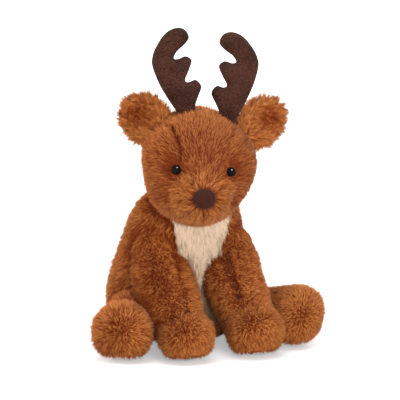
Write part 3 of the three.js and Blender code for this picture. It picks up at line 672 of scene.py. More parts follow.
def pile_material(name, root, dark, light, sheen):
    """Pile whose map says how light a tuft is (across), its own tone and painted shade and light together, and how
    far along the hair a point lies (up).
    """

    def build(tree, shader):
        place = tree.get("ShaderNodeUVMap", {"uv_map": "OFBake"})
        split = tree.add("ShaderNodeSeparateXYZ", None, {0: place})
        tuft, along = Wire(tree, split.outputs[0]), Wire(tree, split.outputs[1])
        tip = tree.mix(tuft, rgba(dark), rgba(light))
        # Painted light and shade along each hair: dark as shade towards the root, and a painted highlight that makes
        # its last part 1.25 times lighter
        bright = tree.mix(tuft, rgba(dark, 1.25), rgba(light, 1.25))
        colour = tree.mix((along * 1.3 - 0.1).within(), rgba(root), tip)
        colour = tree.mix((along * 2.5 - 1.5).within(), colour, bright)
        tree.feed(shader.inputs["Base Color"], colour)

    return new_material(name, build, 0.8, Specular_IOR_Level=0.12, Sheen_Weight=sheen, Sheen_Roughness=0.5)


def backing_material(name, colour):
    """The woven backing and the hairs' roots, which show only between tufts. It takes the roots' colour, which under
    brown pile is dark as painted shade in the gaps.
    """

    def build(tree, shader):
        place = tree.get("ShaderNodeTexCoord", out="Object")
        patches = tree.noise(place, 900.0, 2.0)
        tree.feed(shader.inputs["Base Color"], tree.mix(patches, rgba(colour, 0.6), rgba(colour, 1.3)))
        bump = tree.get("ShaderNodeBump", None, {"Strength": 0.5, "Distance": 0.0005, "Height": patches})
        tree.feed(shader.inputs["Normal"], bump)

    return new_material(name, build, 0.95, Specular_IOR_Level=0.1)


def felt_material(name, colour, grain, mottled):
    """Brushed felt: soft patches where the nap lies another way, over a fine matted grain."""

    def build(tree, shader):
        place = tree.get("ShaderNodeTexCoord", out="Object")
        nap = tree.noise(place, 48.0, 3.0)
        matted = tree.noise(place, grain, 4.0, Roughness=0.7)
        shade = ((nap - 0.5) * 1.5 + (matted - 0.5) * 2.9 + 0.42).within()
        dark, light = rgba(colour, 1 - 0.66 * mottled), rgba(colour, 1 + 0.8 * mottled)
        tree.feed(shader.inputs["Base Color"], tree.mix(shade, dark, light))
        tree.feed(shader.inputs["Roughness"], (matted * 0.25 + 0.72).within())
        bump = tree.get("ShaderNodeBump", None, {"Strength": 0.6, "Distance": 0.0006, "Height": matted})
        tree.feed(shader.inputs["Normal"], bump)

    return new_material(name, build, 0.85, Specular_IOR_Level=0.12, Sheen_Weight=0.06, Sheen_Roughness=0.45)


def bead_material(name, colour):
    """Polished black plastic with faint rub marks."""

    def build(tree, shader):
        place = tree.get("ShaderNodeTexCoord", out="Object")
        rubbed = tree.noise(place, 700.0, 3.0)
        tree.feed(shader.inputs["Base Color"], tree.mix(rubbed, rgba(colour, 0.8), rgba(colour, 1.3)))
        tree.feed(shader.inputs["Roughness"], rubbed * 0.06 + 0.03)

    return new_material(name, build, 0.04, Specular_IOR_Level=0.28)


def moulded_material(name, colour):
    """Plain moulded plastic, slightly mottled."""

    def build(tree, shader):
        place = tree.get("ShaderNodeTexCoord", out="Object")
        mottle = tree.noise(place, 400.0, 2.0)
        tree.feed(shader.inputs["Base Color"], tree.mix(mottle, rgba(colour, 0.92), rgba(colour)))
        tree.feed(shader.inputs["Roughness"], mottle * 0.15 + 0.35)

    return new_material(name, build, 0.45)


# ---- Pile ----


ROOTED = 0.04  # how much of a hair's length stands below its skin


def tuft_objects(kinds, hairs, spread, thick, seed):
    """Small bunches of hairs, each a closed thin spike with three sides, about 1 m tall along Z and rooted a
    little below 0; the nodes give them their length. Widths are in millimetres. Each point keeps how much lighter
    its hair is and how far along the hair it lies."""
    made = []
    draw = np.random.default_rng(seed)
    for kind in range(kinds):
        points, faces, strand = [], [], []
        for _ in range(hairs):
            turn, out = draw.uniform(0, 2 * np.pi), spread * draw.uniform(0, 1) ** 0.5
            root = np.array([math.cos(turn) * out, math.sin(turn) * out])
            tip = root * draw.uniform(0.15, 0.65) + draw.normal(0, 0.25, 2) * spread
            tall, half = draw.uniform(0.7, 1.08), thick * draw.uniform(0.75, 1.2)
            shade, first = draw.uniform(-1, 1), draw.uniform(0, 2 * np.pi)
            start = len(points)
            for k in range(3):
                angle = first + 2 * np.pi * k / 3
                foot = (root[0] + half * math.cos(angle), root[1] + half * math.sin(angle), -ROOTED / MM)
                points.append(foot)
                strand.append((shade + (k - 1) * 0.016, 0, 0))
            points.append((*tip, tall / MM))
            strand.append((shade, 1, 0))
            faces += [(start + k, start + (k + 1) % 3, start + 3) for k in range(3)]
        tuft = mesh_object(f"tuft_{seed}_{kind}", points, faces)
        keep(tuft.data, "strand", "FLOAT_VECTOR", strand)
        made.append(tuft)
    return made


def coat_tree(tufts):
    """Geometry nodes that set tufts of hair on a skin. The skin's points say cover, comb, lean, length and
    tint. The result is the hairs alone, with a map of tint across and root to tip up."""
    group = bpy.data.node_groups.new("pile", "GeometryNodeTree")
    sockets = {
        "Skin": "NodeSocketGeometry",
        "Spacing": "NodeSocketFloat",
        "Hair width": "NodeSocketFloat",
        "Unruly": "NodeSocketFloat",
        "Stray": "NodeSocketFloat",
        "Clump": "NodeSocketFloat",
        "Mottle": "NodeSocketFloat",
        "Seed": "NodeSocketInt",
        "Pile": "NodeSocketMaterial",
    }
    for name, kind in sockets.items():
        group.interface.new_socket(name, in_out="INPUT", socket_type=kind)
    group.interface.new_socket("Coat", in_out="OUTPUT", socket_type="NodeSocketGeometry")
    tree = Tree(group)
    inside = tree.add("NodeGroupInput")
    given = {name: Wire(tree, inside.outputs[name]) for name in sockets}
    named = lambda name, kind: tree.get("GeometryNodeInputNamedAttribute", {"data_type": kind}, {"Name": name})
    spread = tree.add(
        "GeometryNodeDistributePointsOnFaces",
        {"distribute_method": "POISSON"},
        {
            "Mesh": given["Skin"],
            "Distance Min": given["Spacing"],
            "Density Max": 4.0e6,
            "Density Factor": named("cover", "FLOAT"),
            "Seed": given["Seed"],
        },
    )
    points, normal = Wire(tree, spread.outputs["Points"]), Wire(tree, spread.outputs["Normal"])
    place = tree.get("GeometryNodeInputPosition")
    lean = named("lean", "FLOAT")
    clumps = tree.noise(place, given["Clump"], 1.0, out=1)
    swirl = tree.vectors("SCALE", tree.vectors("SUBTRACT", clumps, (0.5, 0.5, 0.5)), given["Unruly"])
    loose = tree.get(
        "FunctionNodeRandomValue",
        {"data_type": "FLOAT_VECTOR"},
        {0: (-1.0, -1.0, -1.0), 1: (1.0, 1.0, 1.0), "Seed": given["Seed"]},
    )
    spin, loose = loose, tree.vectors("SCALE", loose, given["Stray"])
    raised = tree.vectors("SCALE", normal, 1 - lean)
    laid = tree.vectors("SCALE", named("comb", "FLOAT_VECTOR"), lean)
    way = tree.vectors("ADD", tree.vectors("ADD", raised, laid), tree.vectors("ADD", swirl, loose))
    # No hair points into the skin
    short = 0.22 - tree.get("ShaderNodeVectorMath", {"operation": "DOT_PRODUCT"}, {0: way, 1: normal}, out="Value")
    way = tree.vectors("ADD", way, tree.vectors("SCALE", normal, short.sum("MAXIMUM", 0.0)))
    stand = tree.get("FunctionNodeAlignRotationToVector", {"axis": "Z"}, {"Vector": way})
    stand = tree.get(
        "FunctionNodeAlignRotationToVector",
        {"axis": "Y", "pivot_axis": "Z"},
        {"Rotation": stand, "Vector": spin},
    )

    def chance(low, high, salt):
        """A random number for each point."""
        values = {2: low, 3: high, "Seed": given["Seed"] + salt}
        return tree.get("FunctionNodeRandomValue", {"data_type": "FLOAT"}, values, out=1)

    # Broad patches, single tufts and the nap between the two
    patch = tree.noise(place, 70.0, 2.0)
    fleck = tree.noise(place, 760.0, 1.0)
    nap = tree.noise(place, 210.0, 1.5)
    tint = named("tint", "FLOAT") + (patch - 0.5) * 0.7 + (fleck - 0.5) * 1.7 + chance(-0.34, 0.34, 7)
    tint = tint + (nap - 0.46) * given["Mottle"]
    for name, kind, value in (("coat_tint", "FLOAT", tint), ("coat_facing", "FLOAT_VECTOR", normal)):
        points = tree.get(
            "GeometryNodeStoreNamedAttribute",
            {"data_type": kind, "domain": "POINT"},
            {"Geometry": points, "Name": name, "Value": value},
        )
    bunch = tree.add("GeometryNodeGeometryToInstance")
    for tuft in tufts:
        shape = tree.get("GeometryNodeObjectInfo", None, {"Object": tuft}, out="Geometry")
        tree.links.new(shape.socket, bunch.inputs[0])
    choice = {4: 0, 5: len(tufts) - 1, "Seed": given["Seed"] + 3}
    index = tree.get("FunctionNodeRandomValue", {"data_type": "INT"}, choice, out=2)
    width = given["Hair width"]
    tall = named("length", "FLOAT") * chance(0.84, 1.08, 11) * ((fleck - 0.5) * 1.3 + 1.0)
    standing = tree.get(
        "GeometryNodeInstanceOnPoints",
        None,
        {
            "Points": points,
            "Instance": Wire(tree, bunch.outputs[0]),
            "Pick Instance": True,
            "Instance Index": index,
            "Rotation": stand,
            "Scale": tree.get("ShaderNodeCombineXYZ", None, {0: width, 1: width, 2: tall}),
        },
    )
    real = tree.get("GeometryNodeRealizeInstances", None, {0: standing})
    strand = tree.add("ShaderNodeSeparateXYZ", None, {0: named("strand", "FLOAT_VECTOR")})
    shade = (named("coat_tint", "FLOAT") + Wire(tree, strand.outputs[0]) * 0.14).sum("MAXIMUM", 0.015)
    along = Wire(tree, strand.outputs[1]) * 0.97 + 0.015
    spot = tree.get("ShaderNodeCombineXYZ", None, {0: shade.sum("MINIMUM", 0.985), 1: along})
    mapped = tree.get(
        "GeometryNodeStoreNamedAttribute",
        {"data_type": "FLOAT2", "domain": "CORNER"},
        {"Geometry": real, "Name": "OFBake", "Value": spot},
    )
    dressed = tree.get("GeometryNodeSetMaterial", None, {"Geometry": mapped, "Material": given["Pile"]})
    tree.feed(tree.add("NodeGroupOutput").inputs[0], dressed)
    return group


# What a coat's tufts are given: the usual, and where a piece has it otherwise
USUAL = {"Hair width": 1.0, "Unruly": 0.22, "Stray": 0.2, "Clump": 150.0, "Mottle": 1.5}
LOOKS = {
    "body": {},
    "bib": {"Unruly": 0.3, "Stray": 0.12},
    "head": {"Hair width": 0.92, "Unruly": 0.24, "Clump": 200.0, "Mottle": 0.7},
    "ear": {"Unruly": 1.3, "Stray": 0.45, "Clump": 180.0},
    "tail": {"Unruly": 0.5},
}


def grow_coat(name, skin, body, seed, look="body", pile="brown", tufts="short", sparse=1.0, floor=False):
    """Hairs on a skin, as a plain mesh of its own that rides on a body. Those near the floor end on it."""
    tree = stock(tufts + "_tree")
    planted = bpy.data.objects.new(name + "_planted", skin.data)
    bpy.context.scene.collection.objects.link(planted)
    nodes = planted.modifiers.new("pile", "NODES")
    nodes.node_group = tree
    values = {**USUAL, **LOOKS[look], "Spacing": pile_mm("spacing") * sparse * MM, "Seed": seed}
    values["Pile"] = stock(pile + "_pile")
    for socket in tree.interface.items_tree:
        if socket.item_type == "SOCKET" and socket.name in values:
            nodes[socket.identifier] = values[socket.name]
    graph = bpy.context.evaluated_depsgraph_get()
    mesh = bpy.data.meshes.new_from_object(
        planted.evaluated_get(graph), preserve_all_data_layers=True, depsgraph=graph
    )
    planted.modifiers.remove(nodes)
    bpy.data.objects.remove(planted)
    if not len(mesh.polygons):
        raise RuntimeError(f"{name} grew no hair")
    mesh.name = name
    facing = np.empty(len(mesh.vertices) * 3, np.float32)
    mesh.attributes["coat_facing"].data.foreach_get("vector", facing)
    if floor:
        # Hairs that would pass through the floor end 0.2 to 0.8 mm above it
        places = places_of(mesh)
        draw = np.random.default_rng(seed)
        low = 0.0002 + 0.0006 * draw.random(len(places))
        places[:, 2] = np.where(places[:, 2] < low, low, places[:, 2])
        mesh.vertices.foreach_set("co", places.astype(np.float32).ravel())
        mesh.update()
    # Light falls on the pile half as on its skin and half as on each hair
    soft = unit(0.5 * unit(facing.reshape(-1, 3)) + 0.5 * normals_of(mesh))
    for old in list(mesh.attributes):
        if old.name in ("cover", "comb", "lean", "length", "tint", "coat_tint", "coat_facing", "strand"):
            mesh.attributes.remove(old)
    mesh.polygons.foreach_set("use_smooth", [True] * len(mesh.polygons))
    mesh.normals_split_custom_set_from_vertices(soft.tolist())
    coat = bpy.data.objects.new(name, mesh)
    bpy.context.scene.collection.objects.link(coat)
    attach(coat, body)
    pile + "_plush"


def comb_skin(skin, comb, lean, length, tint, cover):
    """Gives a skin's points what the pile reads. Lengths in millimetres."""
    mesh = skin.data
    count = len(mesh.vertices)
    full = lambda value: np.broadcast_to(np.asarray(value, float), (count,))
    normals = normals_of(mesh)
    keep(mesh, "comb", "FLOAT_VECTOR", along_surface(np.broadcast_to(comb, (count, 3)), normals))
    keep(mesh, "lean", "FLOAT", full(lean))
    keep(mesh, "length", "FLOAT", full(length) * MM)
    keep(mesh, "tint", "FLOAT", full(tint))
    keep(mesh, "cover", "FLOAT", full(cover))


def stood(points, centre, radius, side, share):
    """A round end that stands on the floor: below its middle it keeps more of its width."""
    low = np.clip((centre[2] - points[:, 2]) / radius, 0, 0.93)
    wider = (1 - low**4) ** 0.25 / np.sqrt(1 - low**2) - 1
    off = (points - centre) @ side
    return points + side * (off * wider * share)[:, None]


def skin_object(name, points, faces, body, nodes):
    """The stuffed cloth under brown pile, which stands for a cover and what fills it."""
    made = mesh_object(name, points, faces)
    made.data.materials.append(stock("brown_backing"))
    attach(made, body)
    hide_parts(*nodes)
    return made


# ---- Settings ----


def length_setting(name, about, default):
    return bpy.props.FloatProperty(name=name, description=about, default=default * MM, min=0.0, unit="LENGTH")


def power_setting(name, about, default):
    return bpy.props.FloatProperty(name=name, description=about, default=default, min=0.0, unit="POWER")


def angle_setting(name, about, default):
    return bpy.props.FloatProperty(name=name, description=about, default=math.radians(default), subtype="ANGLE")


def colour_setting(name, about, default):
    return bpy.props.FloatVectorProperty(
        name=name, description=about, default=default, size=3, min=0.0, max=1.0, subtype="COLOR"
    )


class DeerPile(bpy.types.PropertyGroup):
    """Lengths and spacing of the pile"""

    body: length_setting("Body pile", "Length of the pile on torso and legs", 6.3)
    face: length_setting("Head pile", "Length of the pile on the head", 5.6)
    ear: length_setting("Ear pile", "Length of the ears' shaggy pile", 11.0)
    bib: length_setting("Bib pile", "Length of the cream pile", 10.5)
    foot: length_setting("Foot pile", "Length of the pile on paws and feet", 5.3)
    spacing: length_setting("Tuft spacing", "Least distance between tufts", 1.0)


class DeerColours(bpy.types.PropertyGroup):
    """Colours of cloth, felt and beads"""

    # Roots are painted dark as shade deep in the pile. The dark tuft colours serve both the tufts' own uneven tone
    # and painted shade in folds, creases and hollows; the darkest cream is painted shade low on the bib.
    root: colour_setting("Pile root", "Brown pile near its backing", (0.12, 0.018, 0.004))
    dark: colour_setting("Pile, dark tufts", "Tips of the darker brown tufts", (0.29, 0.051, 0.009))
    light: colour_setting("Pile, light tufts", "Tips of the lighter brown tufts", (0.74, 0.262, 0.066))
    cream_root: colour_setting("Cream root", "Cream pile near its backing", (0.56, 0.35, 0.22))
    cream_dark: colour_setting("Cream, dark tufts", "Tips of the darker cream tufts", (0.2, 0.11, 0.06))
    cream_light: colour_setting("Cream, light tufts", "Tips of the lighter cream tufts", (1.0, 0.79, 0.58))
    antler: colour_setting("Antler felt", "Felt of the antlers", (0.049, 0.0165, 0.0098))
    nose: colour_setting("Nose felt", "Felt of the nose", (0.042, 0.011, 0.006))
    bead: colour_setting("Bead", "Plastic of the eyes", (0.004, 0.003, 0.003))
    washer: colour_setting("Washer", "Plastic of the washers inside the head", (0.75, 0.74, 0.7))


class DeerStage(bpy.types.PropertyGroup):
    """Camera and light"""

    azimuth: angle_setting("Azimuth", "Camera's direction round the toy", -22)
    elevation: angle_setting("Elevation", "Camera's height above level", 10)
    distance: length_setting("Distance", "Camera's distance from the toy", 4000.0)
    field: length_setting("Field", "Width of the picture at the toy", 352.0)
    daylight: bpy.props.FloatProperty(name="Daylight", description="Light from all round", default=0.34, min=0.0)
    overhead: power_setting("Overhead", "Soft box above", 15.0)
    front: power_setting("Front", "Soft box in front", 28.0)
    catch: power_setting("Catch light", "Small lamp that only the beads mirror", 13.0)
    rim: power_setting("Rim", "Each soft box behind", 13.0)


shared = {}  # materials, tufts and node trees that several operators use


def colours():
    """The colour settings."""
    return bpy.context.scene.deer_colours


def pile_mm(name):
    """A pile length from the settings, in millimetres."""
    return getattr(bpy.context.scene.deer_pile, name) / MM


def stock(name):
    """A shared material or node tree. All are made when the first is asked for."""
    if not shared:
        c = colours()
        shared["brown_pile"] = pile_material("brown_pile", c.root, c.dark, c.light, 0.03)
        shared["cream_pile"] = pile_material("cream_pile", c.cream_root, c.cream_dark, c.cream_light, 0.03)
        shared["brown_backing"] = backing_material("brown_backing", c.root)
        shared["cream_backing"] = backing_material("cream_backing", c.cream_root)
        shared["tufts"] = tuft_objects(kinds=8, hairs=8, spread=0.85, thick=0.23, seed=11)
        shared["shags"] = tuft_objects(kinds=8, hairs=9, spread=1.2, thick=0.26, seed=12)
        shared["short_tree"] = coat_tree(shared["tufts"])
        shared["shag_tree"] = coat_tree(shared["shags"])
    return shared[name]


def coat_pieces(skin, parts, body, seed, **options):
    """One coat for each part of a skin: parts maps a piece's name to where it grows and how sparsely."""
    mesh = skin.data
    whole = np.empty(len(mesh.vertices), np.float32)
    mesh.attributes["cover"].data.foreach_get("value", whole)
    for number, (name, (share, sparse)) in enumerate(parts.items()):
        mesh.attributes["cover"].data.foreach_set("value", (whole * share).astype(np.float32))
        grow_coat(name, skin, body, seed + number, sparse=sparse, **options)
    mesh.attributes["cover"].data.foreach_set("value", whole)


class DEER_OT_torso(bpy.types.Operator):
    """Torso, its brown pile and its cream bib"""

    bl_idname = "deer.torso"
    bl_label = "Torso and bib"

    def execute(self, context):
        points, faces = torso_grid(SKIN_INSET["torso"])
        x, _, z = points.T
        points = points + (np.sign(x) * uneven(x, z, SHOULDERS_UNEVEN))[:, None] * X_AXIS
        skin = skin_object(
            "torso_body", points, faces, "torso", ["torso_cover", "torso_filling", "seat_bean_pouch"]
        )
        x, y, z = points.T
        rings, around = TORSO_GRID
        middle = per_point(-table_at(TORSO_SHARES, rings_over(rings))[:, 3] * TORSO["lean"], around)
        share = ramp(z, BIB["low"], BIB["high"] - BIB["low"])
        half = BIB["seat"] + share**2 * (BIB["top"] - BIB["seat"])
        on_bib = (np.abs(x) < half) & (z > BIB["low"]) & (y < middle - BIB["ahead"])
        legs = [leg_form(grid, side) for grid in (front_leg_grid, hind_leg_grid) for side in SIDES.values()]
        others = [*legs, head_form()]
        cover = clear_of(points, *others) * (z > 6.5)
        comb = np.stack([0.25 * np.sign(x), 0 * x, -np.ones_like(x)], 1)
        # Painted shade where the torso meets the legs and under the chin
        tint = 0.6 - 0.95 * fold_shade(points, 11.0, *others)
        comb_skin(skin, comb, 0.34, pile_mm("body"), tint, cover)
        ahead = y < middle + 10
        parts = {"torso_coat_front": (~on_bib & ahead, 1.08), "torso_coat_back": (~on_bib & ~ahead, 1.25)}
        coat_pieces(skin, parts, "torso", 100, floor=True)
        # The bib's own cloth: the torso's faces inside its outline, raised a little and given a back
        inner = [f for f in faces if all(on_bib[i] for i in f)]
        used = sorted({i for f in inner for i in f})
        place = {old: new for new, old in enumerate(used)}
        raised = points[used] + normals_of(skin.data)[used] * 0.7
        bib = mesh_object("chest_bib_cloth", raised, [tuple(place[i] for i in f) for f in inner])
        bib.data.materials.append(stock("cream_backing"))
        # Painted shade low on the bib, between the legs, and along the legs' edges
        tint = np.clip((z[used] - 50) / 18, -0.8, 1.0) - 1.1 * fold_shade(raised, 8.0, *legs)
        comb_skin(bib, DOWN, 0.68, pile_mm("bib"), tint, cover[used])
        grow_coat("chest_bib_coat", bib, "torso", 150, look="bib", pile="cream", tufts="shag", floor=True)
        wall = bib.modifiers.new("wall", "SOLIDIFY")
        wall.thickness, wall.offset = 1.6 * MM, -1
        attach(bib, "torso")
        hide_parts("chest_bib")
        return {"FINISHED"}


class DEER_OT_neck(bpy.types.Operator):
    """Neck, mostly hidden between head and torso"""

    bl_idname = "deer.neck"
    bl_label = "Neck"

    def execute(self, context):
        # Only a narrow ring of it shows between head and torso, so it is 2 mm fuller than its solid
        height, r = ball_rings(NECK["radius"] - SKIN_INSET["neck"] + 2, 30)
        _, ahead, pivot = NECK["pivot"]
        centre = np.stack([0 * r, 0 * r + ahead, pivot + height], 1)
        points, faces = wrap(centre, X_AXIS, Y_AXIS, np.stack([r, r], 1), 40)
        skin = skin_object("neck_body", points, faces, "neck", ["neck_plug"])
        cover = clear_of(points, head_form(), torso_form(), depth=2.5)
        comb_skin(skin, DOWN, 0.5, pile_mm("body"), 0.45, cover)
        grow_coat("neck_coat", skin, "neck", 200, sparse=1.2)
        return {"FINISHED"}


def eye_spots():
    """Each eye's middle and outward direction in the head's frame."""
    found = {}
    for name, side in SIDES.items():
        point, normal = head_spot(side * EYE["half_gap"], EYE["lift"])
        found[name] = (point - normal * EYE["bury"], normal)
    return found


class Pelt:
    """How pile grows at each point of the head, in its own frame, and how deep its cloth is drawn in there."""

    def __init__(self, points, length, tint, lean, comb):
        self.points, self.sunk, self.length = points, np.zeros(len(points)), np.full(len(points), length)
        self.tint, self.lean, self.comb = tint, lean, comb


def draw_in_eyes(pelt):
    """Hollows round the eyes, where the pile is short and painted with shade, most above and outside each eye."""
    for middle, _ in eye_spots().values():
        outer = np.sign(middle[0])
        off = far(pelt.points, middle)
        near = bell(off, 8.0)
        aside, _, up = EYE_HOLLOW["shade_at"]
        shade = bell(far(pelt.points, middle + (aside * outer, 0, up)), EYE_HOLLOW["shade_reach"])
        hollow = middle - (EYE_HOLLOW["inward"] * outer, 0, 0)
        pelt.sunk += EYE_HOLLOW["deep"] * bell(far(pelt.points, hollow), EYE_HOLLOW["reach"])
        pelt.length *= 1 - 0.3 * bell(off, 7.0)
        # Painted shade in the hollows round each eye
        pelt.tint -= 0.3 * near + EYE_HOLLOW["shade"] * shade
        away = unit(pelt.points - middle) * (0.3 * near)[:, None]
        pelt.comb = unit(pelt.comb * (1 - near)[:, None] + away)


def swell_muzzle(pelt, tip):
    """The muzzle swells round the nose, inside a soft groove along the cheeks, and its pile spreads in bunches. Its
    swell is painted lighter, and its groove and the dips between bunches are painted with shade.
    """
    x, y, z = pelt.points.T
    lift = z - tip[2]
    round_nose = np.hypot(x / MUZZLE["half"], lift / np.where(lift > 0, MUZZLE["above"], MUZZLE["below"]))
    front = ramp(y, -10, -12)
    groove = bell(round_nose - 1, 0.17) * front * ramp(lift, 11, -12) * np.clip((lift + 20) / 14, 0.15, 1)
    swell = bell(round_nose, 0.75) * front
    turn, out = np.arctan2(lift, x), np.hypot(x, lift)
    bunch = 0.5 * np.sin(9 * turn + 0.6 + 0.12 * out) + 0.5 * np.sin(16 * turn + 2.1 - 0.1 * out)
    fan = np.clip(1.15 - round_nose, 0, 0.5) * 2 * np.clip(round_nose * 2.2 - 0.6, 0, 1) * front
    pelt.sunk += MUZZLE["groove"] * groove - MUZZLE["swell"] * swell + MUZZLE["bunch"] * bunch * fan
    # Painted light on the swell and on a ring just inside the groove; painted shade in the groove and in the dips
    # between bunches
    pelt.tint += 0.36 * swell - 0.45 * groove - 0.8 * bunch * fan
    pelt.tint += 0.25 * bell(round_nose - 0.84, 0.13) * front
    swerve = np.stack([-lift, 0 * x, x], 1) * (0.08 * fan * np.sin(7 * turn + 0.25 * out))[:, None]
    pelt.comb = unit(pelt.comb + swerve)
    pelt.lean += 0.46 * bell(far(pelt.points, tip), 17)
    pelt.length *= 1 + 0.3 * swell - 0.3 * bell(far(pelt.points, tip), 11)
    # The chin is painted lighter, as light from below would make it, under a short stitched line
    pelt.tint += 0.3 * ramp(z, -26, -10) * front
    past = (lift > STITCH["top"]) | (lift < STITCH["bottom"]) | (y > -30)
    stitch = np.abs(x) + 100 * past
    pelt.sunk += STITCH["deep"] * bell(stitch, STITCH["reach"])
    # Painted shade in the stitched line's crease
    pelt.tint -= 0.7 * bell(stitch, 1.3)


def sew_forehead(pelt):
    """The seam over one eye parts the pile, and its groove is painted with shade. Gives each point's distance from
    it.
    """
    seam = np.array([head_spot(a, b, SKIN_INSET["head"])[0] for a, b in FOREHEAD_SEAM])
    line, _ = path_through(seam, 30)
    away, nearest = beside(pelt.points, line)
    pelt.sunk += 2.6 * bell(away, 1.5)
    pelt.length *= 1 - 0.55 * bell(away, 2.0)
    pelt.lean += 0.35 * bell(away, 2.6)
    # Painted shade along the seam's groove
    pelt.tint -= 0.7 * bell(away, 1.4)
    part = unit(pelt.points - line[nearest])
    pelt.comb = unit(pelt.comb + part * (1.6 * bell(away, 2.8))[:, None])
    return away


def crease_chin(pelt):
    """A soft crease across the chin, under the stitched line, painted with shade."""
    x, y, z = pelt.points.T
    crease = np.hypot(x * 1.6, z + 29) + 100 * (y > -30)
    pelt.sunk += 1.0 * bell(crease, 3.2)
    # Painted shade in the crease
    pelt.tint -= 0.2 * bell(crease, 3.0)


class DEER_OT_head(bpy.types.Operator):
    """Head with its eye hollows, muzzle and forehead seam"""

    bl_idname = "deer.head"
    bl_label = "Head"

    def execute(self, context):
        points, faces = head_grid(SKIN_INSET["head"], 132, 150)
        x, y, z = points.T
        tip = np.array([0, -(1 - HEAD["middle"]) * HEAD["deep"], -0.175 * HEAD["high"]])
        # The pile is combed back from the nose; its top is painted lighter, as light from above would make it, and it
        # is paler behind
        tint = 0.32 + np.maximum(0.34 * ramp(z, 28, 18), 0.24 * ramp(y, -6, 24))
        comb = unit(points - tip - np.array([0, 6.0, 0]))
        comb[:, 2] -= 0.25 * np.clip(np.abs(x) / 50, 0, 1)
        pelt = Pelt(points, pile_mm("face"), tint, 0.34 + 0.08 * ramp(z, 0, -20), unit(comb))
        draw_in_eyes(pelt)
        swell_muzzle(pelt, tip)
        pelt.sunk += uneven(x, z, HEAD_UNEVEN)
        away = sew_forehead(pelt)
        crease_chin(pelt)
        points = pressed(points, faces, pelt.sunk)
        matrix = head_matrix()
        placed = carried(points, matrix)
        skin = skin_object("head_body", placed, faces, "head", ["head_cover", "head_filling"])
        ears = []
        for name, side in SIDES.items():
            ear_points, ear_faces = ear_grid(SKIN_INSET["ear"], 30)
            ears.append((carried(ear_points, ear_matrix(name, side)), ear_faces))
        cover = clear_of(placed, torso_form(), *ears, depth=2.0)
        on_nose = np.hypot(x / (NOSE["wide"] - 1), (z - tip[2]) / (NOSE["high"] - 1)) + 10 * (y > -40)
        cover *= (on_nose > 1) & (away > 0.75)
        for middle, _ in eye_spots().values():
            cover *= far(points, middle) > EYE["radius"] - 0.6
        comb = pelt.comb @ np.array(matrix.to_3x3()).T
        comb_skin(skin, comb, pelt.lean, pelt.length, pelt.tint, cover)
        parts = {"head_coat_face": (y < -8, 1.0), "head_coat_back": (y >= -8, 1.15)}
        coat_pieces(skin, parts, "head", 300, look="head")
        return {"FINISHED"}


class DEER_OT_ears(bpy.types.Operator):
    """Both ears with their shaggy pile"""

    bl_idname = "deer.ears"
    bl_label = "Ears"

    def execute(self, context):
        for number, (name, side) in enumerate(SIDES.items()):
            points, faces = ear_grid(SKIN_INSET["ear"])
            matrix = Matrix.Translation(EAR_SLUMP[name]) @ ear_matrix(name, side)
            placed = carried(points, matrix)
            nodes = [f"ear_{name}_back", f"ear_{name}_lining"]
            skin = skin_object(f"ear_{name}_body", placed, faces, f"ear_{name}", nodes)
            x, y, z = points.T
            inner = bell(np.hypot(x, z - EAR["length"] / 2), 14) * (y < 2)
            comb = unit(np.stack([x * 0.9, 0 * y, z - 6 + 12 * (1 - inner)], 1)) @ np.array(matrix.to_3x3()).T
            length = pile_mm("ear") * (1 - 0.45 * inner)
            if name == "left":
                length *= 1 + 0.3 * bell(np.hypot(x + 6, z - EAR["length"]), 14)
            # Painted shade in the ear's hollow front
            tint = 0.88 - 1.1 * inner + 0.15 * np.clip(z / EAR["length"], 0, 1)
            comb_skin(skin, comb, 0.62 - 0.3 * inner, length, tint, clear_of(placed, head_form(), depth=2.5))
            grow_coat(
                f"ear_{name}_coat", skin, f"ear_{name}", 400 + number, look="ear", tufts="shag", sparse=0.9
            )
        return {"FINISHED"}


